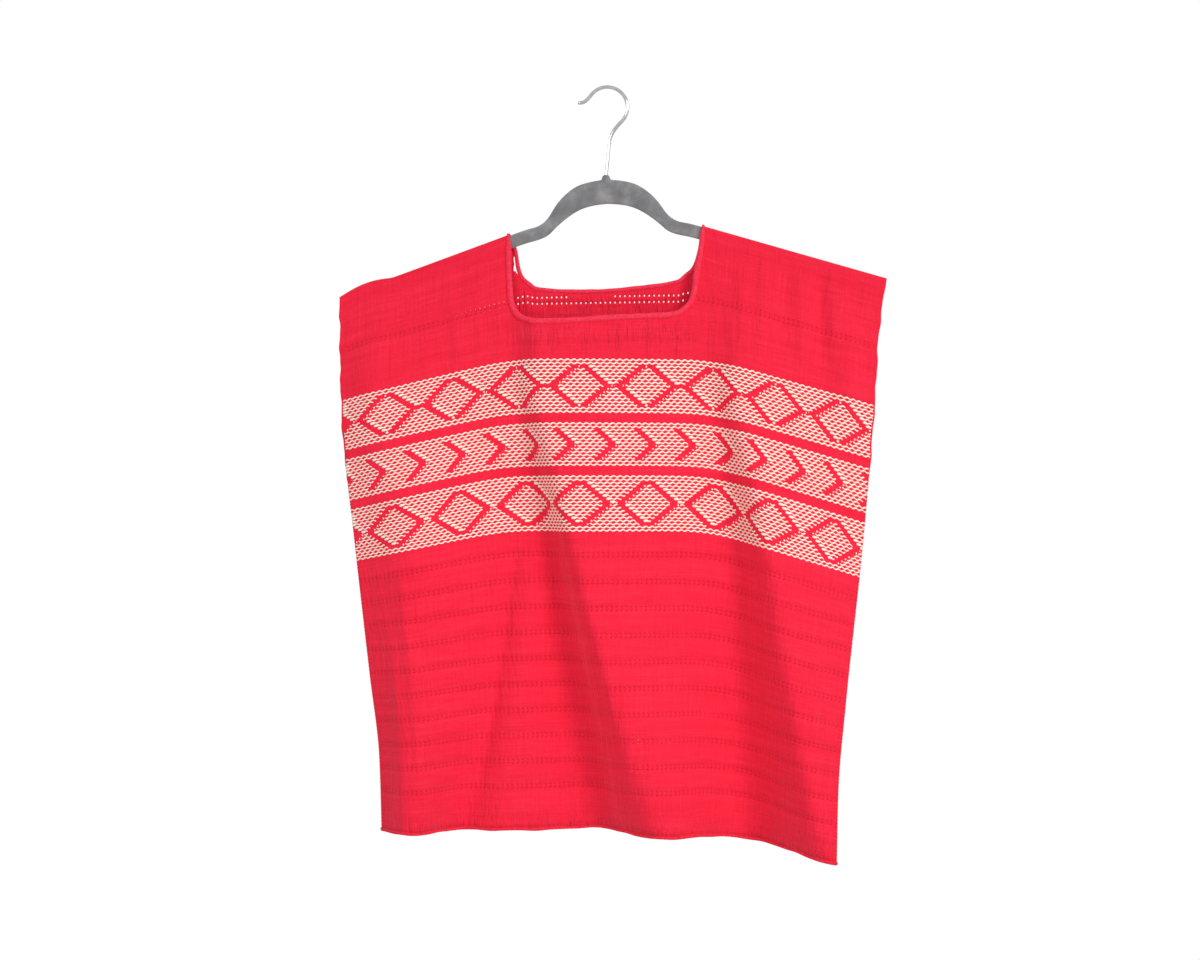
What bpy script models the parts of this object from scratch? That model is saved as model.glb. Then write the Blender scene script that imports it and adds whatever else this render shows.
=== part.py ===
"""A huipil blouse hanging on a flocked hanger: two woven cotton panels that meet over the shoulders
and down the sides, a rolled neck edge, a rolled hem, and the hanger with its wire hook.

Metres, +X to the right of someone who looks at the front, +Y to the back, +Z up. The origin is the
seat of the hook: the inside top of its bend, where it rests on a peg.

The cloth is worked out by level: the distance down the front from the shoulder fold, measured on the
cloth. A row of SECTIONS gives the outline at one level, and a row of FRONT_LINES or BACK_LINES
follows one crest or valley of the folds down the cloth."""

import math
from bisect import bisect_right
from collections import namedtuple

import bmesh
import bpy
from mathutils import Vector

# The woven cloth.
CLOTH = 0.0015  # wall thickness
WIDTH = 0.600  # one loom width
LENGTH = 0.635  # shoulder fold to hem roll
GAP = 0.0003  # between pieces that meet
SEAM_START = 0.218  # armhole depth, where the side seam begins
SEAM_EASE = 0.024  # length over which the armhole closes to the seam
ARM_OPENING = 0.0045  # how far each panel stands off at the middle of an armhole
ARM_OPENING_WIDTH = 0.110
SEAM_SETTLE = 0.012  # length over which the seam then draws quite shut
SEAM_CATCH = 0.85  # how nearly shut it is where the seam begins

# How the cloth turns over the hanger and round the side seams: a flat top, then a quarter round.
FLAT = 0.0010
TURN_RADIUS = 0.0026
TURN_DEPTH = FLAT + TURN_RADIUS
TURN_LENGTH = FLAT + TURN_RADIUS * math.pi / 2
HALF_APART = TURN_DEPTH + GAP / 2  # from the middle plane to a panel, once it has turned

# The neck opening.
NECK_CENTRE = -0.0055
NECK_HALF_WIDTH = 0.1058
NECK_DEPTH = {"front": 0.0975, "back": 0.068}
NECK_CORNER = 0.026
SHOULDER_START = 0.086  # from here out, the shoulder folds lie on the hanger's arms
NECK_BLEND = 0.012
NECK_ROLL_RADIUS = 0.0025
NECK_RISE = 0.0022  # how far the roll stands off where it crosses the hanger
NECK_RISE_END = 0.060

# The hem.
HEM_ROLL_RADIUS = 0.0020
FACET_EASE = 0.0004  # keeps a roll's flat faces clear of a panel's

# The hanger. The shoulder folds lie along two lines that meet at ARM_APEX, just above its arms, and
# the whole hanger hangs a little askew.
TILT = math.radians(2.2)
ARM_ANGLE = math.radians(18.1)
ARM_APEX = Vector((-0.0023, 0, -0.1144))
ARM_REACH = 0.2225
ARM_THICKNESS = 0.0050
ARM_HEIGHT = 0.0140
ARM_CLEARANCE = (CLOTH / 2 + GAP) / math.cos(ARM_ANGLE)
ARM_START = 0.084
ARM_SECTIONS = 6
TIP_SECTIONS = 4
END_LIFT = 0.0045  # the cloth past the left tip bridges this much above the arm's line

# Half of the hanger's middle, from its centre out, in its own upright frame from ARM_APEX.
HangerSection = namedtuple("HangerSection", "reach top bottom")
HANGER_MIDDLE = (
    HangerSection(0.0000, 0.0245, -0.0052),
    HangerSection(0.0032, 0.0243, -0.0054),
    HangerSection(0.0048, 0.0200, -0.0055),
    HangerSection(0.0120, 0.0190, -0.0062),
    HangerSection(0.0218, 0.0171, -0.0082),
    HangerSection(0.0300, 0.0145, -0.0112),
    HangerSection(0.0368, 0.0106, -0.0149),
    HangerSection(0.0440, 0.0050, -0.0199),
    HangerSection(0.0505, -0.0016, -0.0250),
    HangerSection(0.0560, -0.0090, -0.0300),
    HangerSection(0.0605, -0.0160, -0.0342),
    HangerSection(0.0660, -0.0218, -0.0375),
    HangerSection(0.0740, -0.0262, -0.0402),
)

# The hook: a shank up from the hanger, a bend to the right, the round bend over the peg, and a tip.
WIRE_RADIUS = 0.0019
SHANK_TOP = Vector((0.0002, 0, -0.0560))
BEND_RADIUS = 0.0211
BEND_X = -0.0018
BEND_START = math.radians(-48)
BEND_END = math.radians(148)
BEND_STEPS = 18
LEAN_POINT = Vector((0.0016, 0, -0.0452))
TIP_POINTS = (Vector((-0.0232, 0, -0.0124)), Vector((-0.0274, 0, -0.0146)), Vector((-0.0324, 0, -0.0150)))

Section = namedtuple("Section", "level left right height tilt left_slope right_slope")
SECTIONS = (
    # level, left edge, right edge, height at the middle, rise to the right, fall to each side
    Section(0.000, -0.2792, 0.2882, -0.1458, 0.0384, 0.310, 0.290),
    Section(0.060, -0.2785, 0.2790, -0.2058, 0.0211, 0.282, 0.290),
    Section(0.164, -0.2760, 0.2720, -0.3098, 0.0000, 0.240, 0.280),
    Section(0.286, -0.2637, 0.2605, -0.4323, 0.0000, 0.215, 0.310),
    Section(0.450, -0.2475, 0.2415, -0.5938, -0.010, 0.125, 0.280),
    Section(0.550, -0.2375, 0.2320, -0.6895, -0.0124, 0.070, 0.240),
    Section(0.635, -0.2352, 0.2290, -0.7693, -0.014, 0.026, 0.175),
)
HINGE_LEFT, HINGE_RIGHT = 0.108, 0.104  # where the cloth starts to fall away to the sides
HINGE_SOFTNESS = 0.014

# A fold line's place across and its depth, at the levels of FOLD_LEVELS. Depth is measured from the
# middle plane out to the front for FRONT_LINES, and out to the back for BACK_LINES.
FOLD_LEVELS = (0.164, 0.286, 0.635)
Line = namedtuple("Line", "name x_chest depth_chest x_waist depth_waist x_hem depth_hem")
LEFT_SEAM = Line("left seam", -0.276, 0.002, -0.2637, 0.006, -0.2352, 0.004)
RIGHT_SEAM = Line("right seam", 0.272, 0.009, 0.2605, 0.016, 0.2290, 0.060)
FRONT_LINES = (
    Line("left crest", -0.240, 0.019, -0.206, 0.034, -0.200, 0.042),
    Line("a valley", -0.128, 0.008, -0.092, 0.006, -0.155, 0.002),
    Line("a crest", -0.112, 0.010, -0.079, 0.008, -0.118, 0.017),
    Line("b valley", -0.099, 0.008, -0.068, 0.005, -0.012, -0.009),
    Line("b crest", -0.077, 0.028, -0.050, 0.042, 0.053, 0.054),
    Line("c valley", 0.108, 0.010, 0.127, 0.013, 0.152, -0.001),
    Line("c crest", 0.127, 0.027, 0.154, 0.049, 0.2230, 0.066),
)
BACK_LINES = (
    Line("left crest", -0.190, 0.011, -0.185, 0.026, -0.165, 0.055),
    Line("left valley", -0.090, 0.009, -0.080, 0.011, -0.070, 0.018),
    Line("middle crest", 0.000, 0.014, 0.005, 0.030, 0.015, 0.056),
    Line("right valley", 0.095, 0.009, 0.095, 0.010, 0.095, 0.018),
    Line("right crest", 0.150, 0.010, 0.150, 0.014, 0.145, 0.030),
)

# How finely the panels are made.
COLUMNS = {"front": (12, 18, 20), "back": (12, 12, 12)}  # left of the neck, below it, right of it
EDGE_STEPS = (0.0, FLAT, 0.0024, 0.0038, TURN_LENGTH)
NECK_ROWS = 4
YOKE_ROWS = 5
SKIRT_ROWS = 11
CORNER_ANGLES = (math.radians(15), math.radians(30))  # of the neck's corners, from each straight
ROLL_CORNER_STEPS = 6
ROLL_BOTTOM_STEPS = 20


def smooth(t):
    t = min(1.0, max(0.0, t))
    return t * t * (3 - 2 * t)


def mix(a, b, t):
    return a + (b - a) * t


def through(knots, values, x):
    """A smooth curve through values at knots, that makes no new crest between two of them."""
    x = min(knots[-1], max(knots[0], x))
    i = min(len(knots) - 2, bisect_right(knots, x) - 1)
    slopes = [(values[k + 1] - values[k]) / (knots[k + 1] - knots[k]) for k in range(len(knots) - 1)]

    def tangent(k):
        if k in (0, len(knots) - 1):
            return slopes[min(k, len(slopes) - 1)]
        before, after = slopes[k - 1], slopes[k]
        return 0.0 if before * after <= 0 else 2 * before * after / (before + after)

    step = knots[i + 1] - knots[i]
    t = (x - knots[i]) / step
    rise = t * t * (3 - 2 * t)
    return (
        mix(values[i], values[i + 1], rise)
        + step * t * (1 - t) * ((1 - t) * tangent(i) - t * tangent(i + 1))
    )


def section_value(name, level):
    return through([s.level for s in SECTIONS], [getattr(s, name) for s in SECTIONS], level)


def line_at(line, level):
    """Where a fold line is at this level, as (x, depth)."""
    x = through(FOLD_LEVELS, (line.x_chest, line.x_waist, line.x_hem), level)
    return x, through(FOLD_LEVELS, (line.depth_chest, line.depth_waist, line.depth_hem), level)


def hinge(distance):
    """0 near the middle, growing evenly past the hinge, with a soft bend between."""
    return HINGE_SOFTNESS * math.log1p(math.exp(distance / HINGE_SOFTNESS))


def turned(distance):
    """How far in and how far out the cloth has gone, this far along a turn."""
    angle = min(math.pi / 2, max(0.0, (distance - FLAT) / TURN_RADIUS))
    inward = TURN_RADIUS * (1 - math.cos(angle)) + max(0.0, distance - TURN_LENGTH)
    outward = min(distance, FLAT) + TURN_RADIUS * math.sin(angle)
    return inward, outward


def seam_closing(v):
    """0 along the armhole, 1 along the seam, and nearly closed where the seam begins."""
    above = smooth((v - SEAM_START + SEAM_EASE) / SEAM_EASE)
    below = smooth((v - SEAM_START) / SEAM_SETTLE)
    return SEAM_CATCH * above + (1 - SEAM_CATCH) * below


def fold_height(x):
    """The height of the shoulder fold, which follows the hanger's arms."""
    along = x - ARM_APEX.x
    angle = ARM_ANGLE - math.copysign(TILT, along)
    past_tip = (-along - ARM_REACH) / (ARM_APEX.x - SECTIONS[0].left - ARM_REACH)
    lift = END_LIFT * math.sin(math.pi * min(1.0, max(0.0, past_tip)))
    return ARM_APEX.z - math.tan(angle) * abs(along) + lift


class Panel:
    """The middle surface of one cloth panel."""

    def __init__(self, name, lines, side):
        self.name = name
        self.side = side  # -1 for the front, 1 for the back
        self.lines = lines
        self.rows = {}

    def fold_curve(self, level):
        """This level's (x, depth) knots, seam to seam, and its length along the folds by x."""
        level_key = round(level, 6)
        if level_key not in self.rows:
            below = max(level, FOLD_LEVELS[0])
            knots = [line_at(line, below) for line in self.lines]
            left, right = line_at(LEFT_SEAM, below), line_at(RIGHT_SEAM, below)
            knots = [
                (left[0], HALF_APART - self.side * left[1]),
                *knots,
                (right[0], HALF_APART - self.side * right[1]),
            ]
            left_edge, right_edge = section_value("left", level), section_value("right", level)
            old_width = right[0] - left[0]
            stretch = (right_edge - left_edge) / old_width
            xs = [left_edge + (x - left[0]) * stretch for x, _ in knots]
            opened = smooth((level - TURN_LENGTH) / (FOLD_LEVELS[0] - TURN_LENGTH))
            depths = [mix(HALF_APART, depth, opened) for _, depth in knots]
            samples = 160
            places = [mix(left_edge, right_edge, k / samples) for k in range(samples + 1)]
            points = [Vector((x, through(xs, depths, x), self.height(x, level))) for x in places]
            lengths = [0.0]
            for a, b in zip(points, points[1:]):
                lengths.append(lengths[-1] + (b - a).length)
            self.rows[level_key] = xs, depths, places, lengths
        return self.rows[level_key]

    def height(self, x, level):
        """The height of a weft line at x, before the turn over the hanger."""
        sides = section_value("left_slope", level) * hinge(-x - HINGE_LEFT)
        sides += section_value("right_slope", level) * hinge(x - HINGE_RIGHT)
        on_cloth = section_value("height", level) + section_value("tilt", level) * x - sides
        start = section_value("height", 0) + section_value("tilt", 0) * x
        start -= section_value("left_slope", 0) * hinge(-x - HINGE_LEFT)
        start -= section_value("right_slope", 0) * hinge(x - HINGE_RIGHT)
        near_fold = 1 - smooth(level / FOLD_LEVELS[0])
        return on_cloth + (fold_height(x) - start) * near_fold * self.beside_neck(x)

    def beside_neck(self, x):
        """1 over the shoulders, 0 across the neck."""
        return smooth((abs(x - ARM_APEX.x) - SHOULDER_START + NECK_BLEND) / NECK_BLEND)

    def point(self, u, v):
        """The point at u across the cloth, from -WIDTH / 2 to WIDTH / 2, and v down from the fold."""
        xs, depths, places, lengths = self.fold_curve(v)
        closed = seam_closing(v)
        from_edge = WIDTH / 2 - abs(u)
        inward, outward = turned(from_edge)
        reach = mix(from_edge, inward, closed)
        half_width = WIDTH / 2 - closed * (TURN_LENGTH - TURN_RADIUS)
        along = reach / (2 * half_width) * lengths[-1]
        if u > 0:
            along = lengths[-1] - along
        k = max(0, min(len(lengths) - 2, bisect_right(lengths, along) - 1))
        x = mix(places[k], places[k + 1], (along - lengths[k]) / (lengths[k + 1] - lengths[k]))
        drop, over = turned(v)
        out = mix(TURN_DEPTH, outward, closed) * over / TURN_DEPTH
        arm = math.sin(math.pi * min(1.0, v / SEAM_START)) * smooth(1 - from_edge / ARM_OPENING_WIDTH)
        depth = through(xs, depths, x) + out - TURN_DEPTH + ARM_OPENING * arm
        z = self.height(x, v) + min(v, TURN_LENGTH) - min(drop, TURN_RADIUS)
        return Vector((x, self.side * depth, z))

    def outward(self, u, v):
        """The way out of the cloth, away from the wearer's side."""
        step = 0.0004
        across = self.point(min(u + step, WIDTH / 2), v) - self.point(max(u - step, -WIDTH / 2), v)
        down = self.point(u, v + step) - self.point(u, max(0.0, v - step))
        normal = across.cross(down).normalized()
        return normal if normal.y * self.side > 0 or abs(normal.y) < 0.2 and normal.z > 0 else -normal


FRONT = Panel("front", FRONT_LINES, -1)
BACK = Panel("back", BACK_LINES, 1)


def material(name, colour, roughness, metallic=0.0):
    made = bpy.data.materials.new(name)
    made.use_nodes = True
    shader = made.node_tree.nodes["Principled BSDF"]
    shader.inputs["Base Color"].default_value = (*colour, 1.0)
    shader.inputs["Roughness"].default_value = roughness
    shader.inputs["Metallic"].default_value = metallic
    made.diffuse_color = (*colour, 1.0)
    return made


def spread(start, end, steps):
    """Evenly spaced values after start, up to and with end."""
    return [mix(start, end, (k + 1) / steps) for k in range(steps)]


def column_places(panel):
    """The columns of a panel, close together at its side edges and at the neck's corners."""
    edge = WIDTH / 2
    left_columns, neck_columns, right_columns = COLUMNS[panel.name]
    corner = [NECK_CORNER * (1 - math.sin(angle)) for angle in CORNER_ANGLES]
    neck_left, neck_right = NECK_CENTRE - NECK_HALF_WIDTH, NECK_CENTRE + NECK_HALF_WIDTH
    places = [step - edge for step in EDGE_STEPS]
    places += spread(TURN_LENGTH - edge, neck_left, left_columns)
    places += [neck_left + reach for reach in reversed(corner)]
    places += [neck_left + NECK_CORNER]
    places += spread(neck_left + NECK_CORNER, neck_right - NECK_CORNER, neck_columns)
    places += [neck_right - reach for reach in corner]
    places += [neck_right]
    places += spread(neck_right, edge - TURN_LENGTH, right_columns)
    places += [edge - step for step in reversed(EDGE_STEPS[:-1])]
    return places


def row_places(neck_depth):
    """The rows of a panel, from the shoulder fold to the hem, close together at the neck's corners."""
    places = list(EDGE_STEPS)
    places += spread(TURN_LENGTH, neck_depth - NECK_CORNER, NECK_ROWS)
    places += [neck_depth - NECK_CORNER * (1 - math.sin(angle)) for angle in CORNER_ANGLES]
    places += [neck_depth]
    places += spread(neck_depth, SEAM_START, YOKE_ROWS)
    places += [SEAM_START + SEAM_SETTLE]
    places += spread(SEAM_START + SEAM_SETTLE, LENGTH, SKIRT_ROWS)
    return places


def on_neck_edge(neck_depth, u, v):
    """Moves a place on the square neck outline onto the outline with rounded corners."""
    across = u - NECK_CENTRE
    past_side = abs(across) - (NECK_HALF_WIDTH - NECK_CORNER)
    past_depth = v - (neck_depth - NECK_CORNER)
    if past_side <= 0 or past_depth <= 0:
        return u, v
    if past_side > past_depth:
        past_side = math.sqrt(NECK_CORNER**2 - past_depth**2)
    elif past_side < past_depth:
        past_depth = math.sqrt(NECK_CORNER**2 - past_side**2)
    else:
        past_side = past_depth = NECK_CORNER * math.sqrt(0.5)
    across = math.copysign(NECK_HALF_WIDTH - NECK_CORNER + past_side, across)
    return NECK_CENTRE + across, neck_depth - NECK_CORNER + past_depth


def build_panel(panel, cotton, parts):
    """A grid laid on the cloth's middle surface, cut out at the neck and thickened."""
    neck_depth = NECK_DEPTH[panel.name]
    columns = column_places(panel)
    rows = row_places(neck_depth)
    neck = [i for i, u in enumerate(columns) if abs(u - NECK_CENTRE) < NECK_HALF_WIDTH + GAP]
    neck_row = rows.index(neck_depth)
    grid = bmesh.new()
    bmesh.ops.create_grid(grid, x_segments=len(columns) - 1, y_segments=len(rows) - 1, size=0.5)
    place = {}
    for vertex in grid.verts:
        i = round((vertex.co.x + 0.5) * (len(columns) - 1))
        j = round((0.5 - vertex.co.y) * (len(rows) - 1))
        place[vertex] = i, j
    cut = [f for f in grid.faces if all(place[v][0] in neck and place[v][1] <= neck_row for v in f.verts)]
    bmesh.ops.delete(grid, geom=cut, context="FACES")
    for vertex in grid.verts:
        i, j = place[vertex]
        u, v = columns[i], rows[j]
        if i in neck and j <= neck_row:
            u, v = on_neck_edge(neck_depth, u, v)
        vertex.co = panel.point(u, v)
    if panel.side > 0:
        bmesh.ops.reverse_faces(grid, faces=grid.faces)
    mesh = bpy.data.meshes.new(f"{panel.name}_panel")
    grid.to_mesh(mesh)
    grid.free()
    mesh.shade_smooth()
    mesh.materials.append(cotton)
    made = bpy.data.objects.new(mesh.name, mesh)
    parts.objects.link(made)
    wall = made.modifiers.new("wall", "SOLIDIFY")
    wall.thickness = CLOTH
    wall.offset = 0.0


def build_tube(name, points, radius, closed, surface, parts):
    """A round tube through points: a ring where it is closed."""
    curve = bpy.data.curves.new(name, "CURVE")
    curve.dimensions = "3D"
    curve.bevel_depth = radius
    curve.bevel_resolution = 2
    curve.use_fill_caps = not closed
    spline = curve.splines.new("POLY")
    spline.points.add(len(points) - 1)
    for target, point in zip(spline.points, points):
        target.co = (*point, 1.0)
    spline.use_cyclic_u = closed
    spline.use_smooth = True
    curve.materials.append(surface)
    parts.objects.link(bpy.data.objects.new(name, curve))


def neck_line(panel):
    """The roll's line round one panel's half of the neck, from the left shoulder to the right."""
    inset = NECK_ROLL_RADIUS + GAP + FACET_EASE
    half_width, corner = NECK_HALF_WIDTH - inset, NECK_CORNER - inset
    depth = NECK_DEPTH[panel.name] - inset
    side = [*EDGE_STEPS[1:], *spread(TURN_LENGTH, depth - corner, 2 * NECK_ROWS)]
    left = [(-half_width, v) for v in side]
    for step in range(1, ROLL_CORNER_STEPS + 1):
        angle = math.pi / 2 * step / ROLL_CORNER_STEPS
        u = corner - half_width - corner * math.cos(angle)
        left.append((u, depth - corner + corner * math.sin(angle)))
    bottom = spread(corner - half_width, half_width - corner, ROLL_BOTTOM_STEPS)[:-1]
    flat = [*left, *((u, depth) for u in bottom), *((-u, v) for u, v in reversed(left))]
    points = []
    for u, v in flat:
        rise = NECK_RISE * (1 - smooth(v / NECK_RISE_END))
        points.append(panel.point(NECK_CENTRE + u, v) + panel.outward(NECK_CENTRE + u, v) * rise)
    return points


def over_shoulder(side):
    """Where the neck roll crosses a shoulder fold, side being -1 for the left and 1 for the right."""
    u = NECK_CENTRE + side * (NECK_HALF_WIDTH - NECK_ROLL_RADIUS - GAP - FACET_EASE)
    top = FRONT.point(u, 0.0)
    return Vector((top.x, 0.0, top.z + NECK_RISE))


def build_neck_roll(cotton, parts):
    points = [over_shoulder(-1), *neck_line(FRONT), over_shoulder(1), *reversed(neck_line(BACK))]
    build_tube("neck_roll", points, NECK_ROLL_RADIUS, True, cotton, parts)


def build_hem_roll(cotton, parts):
    """A ring under the panels' lower edges, made from their own points."""
    below = Vector((0, 0, HEM_ROLL_RADIUS + GAP + FACET_EASE))
    front = [FRONT.point(u, LENGTH) - below for u in column_places(FRONT)]
    back = [BACK.point(u, LENGTH) - below for u in column_places(BACK)]
    for end in (0, -1):
        front[end] = (front[end] + back[end]) / 2
    points = [*front, *reversed(back[1:-1])]
    build_tube("hem_roll", points, HEM_ROLL_RADIUS, True, cotton, parts)


def hanger_sections():
    """Half of the hanger, from its middle to its tip, as (reach, top, bottom)."""
    sections = list(HANGER_MIDDLE)
    for reach in (ARM_START, *spread(ARM_START, ARM_REACH - ARM_HEIGHT / 2, ARM_SECTIONS)):
        top = -math.tan(ARM_ANGLE) * reach - ARM_CLEARANCE
        sections.append(HangerSection(reach, top, top - ARM_HEIGHT))
    shoulder = sections[-1]
    middle_start = (shoulder.top + shoulder.bottom) / 2
    for step in range(1, TIP_SECTIONS + 1):
        angle = math.radians(80) * step / TIP_SECTIONS
        reach = shoulder.reach + ARM_HEIGHT / 2 * math.sin(angle)
        middle = middle_start - math.tan(ARM_ANGLE) * (reach - shoulder.reach)
        half = ARM_HEIGHT / 2 * math.cos(angle)
        sections.append(HangerSection(reach, middle + half, middle - half))
    return sections


def section_ring(section, side):
    """The rounded outline of the hanger at a section, on the left (-1) or right (1)."""
    half_height = (section.top - section.bottom) / 2
    radius = min(ARM_THICKNESS / 2, half_height)
    centre = Vector((side * section.reach, 0, (section.top + section.bottom) / 2))
    ring = []
    for end, angles in ((1, range(-90, 91, 45)), (-1, range(90, 271, 45))):
        for degrees in angles:
            angle = math.radians(degrees)
            offset = Vector((0, radius * math.sin(angle), radius * math.cos(angle)))
            ring.append(centre + offset + Vector((0, 0, end * (half_height - radius))))
    return ring


def build_hanger(flock, parts):
    """A loft through the hanger's sections, from its left tip to its right tip."""
    half = hanger_sections()
    rings = [section_ring(s, -1) for s in reversed(half[1:])] + [section_ring(s, 1) for s in half]
    body = bmesh.new()
    loops = [[body.verts.new(point) for point in ring] for ring in rings]
    count = len(loops[0])
    for a, b in zip(loops, loops[1:]):
        for k in range(count):
            body.faces.new((a[k], a[(k + 1) % count], b[(k + 1) % count], b[k]))
    body.faces.new(loops[0])
    body.faces.new(loops[-1])
    bmesh.ops.recalc_face_normals(body, faces=body.faces)
    mesh = bpy.data.meshes.new("hanger")
    body.to_mesh(mesh)
    body.free()
    mesh.shade_smooth()
    mesh.materials.append(flock)
    made = bpy.data.objects.new("hanger", mesh)
    made.location = ARM_APEX
    made.rotation_euler = (0, -TILT, 0)
    parts.objects.link(made)


def build_hook(steel, parts):
    """The wire from the hanger's top, over the peg, to its tip."""
    foot_height = HANGER_MIDDLE[0].top + GAP
    foot = ARM_APEX + Vector((-math.sin(TILT) * foot_height, 0, math.cos(TILT) * foot_height))
    centre = Vector((BEND_X, 0, WIRE_RADIUS - BEND_RADIUS))
    bend = []
    for step in range(BEND_STEPS + 1):
        angle = mix(BEND_START, BEND_END, step / BEND_STEPS)
        bend.append(centre + BEND_RADIUS * Vector((math.cos(angle), 0, math.sin(angle))))
    lean = []
    for t in spread(0.0, 1.0, 5):
        lean.append(SHANK_TOP.lerp(LEAN_POINT, t).lerp(LEAN_POINT.lerp(bend[0], t), t))
    shank = [foot.lerp(SHANK_TOP, t) for t in (0.0, 0.5, 1.0)]
    build_tube("hook", [*shank, *lean[:-1], *bend, *TIP_POINTS], WIRE_RADIUS, False, steel, parts)


def main():
    for old in list(bpy.data.objects):
        bpy.data.objects.remove(old)
    parts = bpy.data.collections.new("huipil_blouse")
    bpy.context.scene.collection.children.link(parts)
    cotton = material("red_cotton", (0.72, 0.012, 0.035), 0.85)
    roll_cotton = material("red_roll_cotton", (0.66, 0.010, 0.030), 0.85)
    flock = material("grey_flock", (0.16, 0.16, 0.165), 0.95)
    steel = material("chrome_steel", (0.80, 0.80, 0.82), 0.15, 1.0)
    build_panel(FRONT, cotton, parts)
    build_panel(BACK, cotton, parts)
    build_neck_roll(roll_cotton, parts)
    build_hem_roll(roll_cotton, parts)
    build_hanger(flock, parts)
    build_hook(steel, parts)


main()
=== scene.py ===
"""The looks of a huipil blouse on a flocked hanger: two panels of handwoven cotton with openwork rows,
three brocaded bands across the front, a rolled and whipped neck and hem, whipped side seams, and the
hanger with its wire hook.

Metres, +X to the right of someone who looks at the front, +Y to the back, +Z up. The origin is the
seat of the hook. A place on a panel is (u, w): u across the cloth from its middle, w down the cloth
from the shoulder fold, both measured on the cloth."""

import math
from collections import namedtuple

import bmesh
import bpy
import numpy as np
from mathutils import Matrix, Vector


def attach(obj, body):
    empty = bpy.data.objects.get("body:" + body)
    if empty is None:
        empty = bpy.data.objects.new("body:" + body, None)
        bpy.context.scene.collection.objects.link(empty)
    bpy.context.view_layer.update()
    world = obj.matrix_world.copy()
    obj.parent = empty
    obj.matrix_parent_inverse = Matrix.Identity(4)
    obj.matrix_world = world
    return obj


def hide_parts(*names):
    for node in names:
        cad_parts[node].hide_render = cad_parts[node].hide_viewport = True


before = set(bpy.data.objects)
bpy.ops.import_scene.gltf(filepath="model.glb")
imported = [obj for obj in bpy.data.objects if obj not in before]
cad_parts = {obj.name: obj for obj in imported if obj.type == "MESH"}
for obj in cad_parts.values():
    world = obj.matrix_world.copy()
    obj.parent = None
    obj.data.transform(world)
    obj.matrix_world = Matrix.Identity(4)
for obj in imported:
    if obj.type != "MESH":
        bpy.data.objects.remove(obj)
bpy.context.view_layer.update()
bpy.ops.object.select_all(action="DESELECT")

MM = 0.001

# ---------------------------------------------------------------- the cloth's own sizes
WIDTH = 0.600
LENGTH = 0.635  # from the shoulder fold to the hem
CLOTH = 0.0007  # thickness of the handwoven cotton
SEAM_START = 0.218  # armhole depth, where the side seam begins
SEAM_EASE = 0.024  # length over which the armhole closes to the seam
SEAM_SETTLE = 0.012  # length over which the seam then draws quite shut
SEAM_CATCH = 0.85  # how nearly shut it is where the seam begins
ARM_OPENING = 0.0045  # how far each panel stands off at the middle of an armhole
ARM_OPENING_WIDTH = 0.110

# How the cloth turns over the hanger and round the side seams: a flat top, then a quarter round.
FLAT = 0.0010
TURN_RADIUS = 0.0026
TURN_DEPTH = FLAT + TURN_RADIUS
TURN_LENGTH = FLAT + TURN_RADIUS * math.pi / 2
HALF_APART = TURN_DEPTH  # from the middle plane to a panel, once it has turned

SHOULDER_START = 0.086  # from here out, the shoulder folds lie on the hanger's arms
NECK_BLEND = 0.012
NECK_EDGE = {  # the middle of the neck roll as (u, w) in mm, from the left shoulder to the right
    "front": (
        (-110, 0), (-109.7, 10), (-109, 32), (-108, 52), (-107.5, 64.5), (-106.5, 75), (-103.5, 85),
        (-99, 91.2), (-92, 96), (-82, 98.2), (-69, 98.8), (-47.5, 98.5), (-21, 97), (13, 95),
        (44.5, 93.8), (56, 93.5), (66.5, 93), (80, 90), (88.5, 84), (92, 76.5), (94, 68), (94.7, 59.5),
        (95.7, 48.5), (97, 39.5), (98.3, 27), (99, 14), (99, 0),
    ),
    "back": (
        (-110, 0), (-106.5, 9), (-103, 18.5), (-101, 26), (-99.5, 36.5), (-98, 43.5), (-95, 51),
        (-90.5, 57), (-83, 61), (-71, 63.5), (-51.5, 65.5), (-13, 66.5), (21.5, 64.5), (51.5, 61.8),
        (66, 59.7), (74.5, 58), (84.5, 55), (91.5, 49), (95.5, 39), (98, 26), (99, 12), (99, 0),
    ),
}
NECK_ROLL_RADIUS = {"front": 0.0031, "back": 0.0023}
SHOULDER_ROLL_RADIUS = 0.0015  # where the roll passes over the hanger
SHOULDER_ROLL_END = 0.022  # how far down from the fold the roll has its full thickness
NECK_ROLL_OUT = 0.0005  # how far its middle stands out of the cloth's
SLIT_TOP, SLIT_END, SLIT_REACH = 0.0270, 0.0465, 0.0034  # where the back's cloth has left the roll
NECK_REACH = 0.13  # the neck is nearer the cloth's middle and the fold than this
DRAWN_IN = 0.0008  # the cloth's points are drawn onto the neck's edge from this near
HEM_ROLL_RADIUS = 0.0017

TILT = math.radians(2.2)
ARM_ANGLE = math.radians(18.1)
ARM_APEX = Vector((-0.0023, 0, -0.1144))
ARM_REACH = 0.2225
ARM_THICKNESS = 0.0050
ARM_HEIGHT = 0.0140
ARM_CLEARANCE = 0.0011  # from an arm's top to the cloth's middle surface
END_LIFT = 0.0045  # the cloth past the left tip bridges this much above the arm's line

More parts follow.
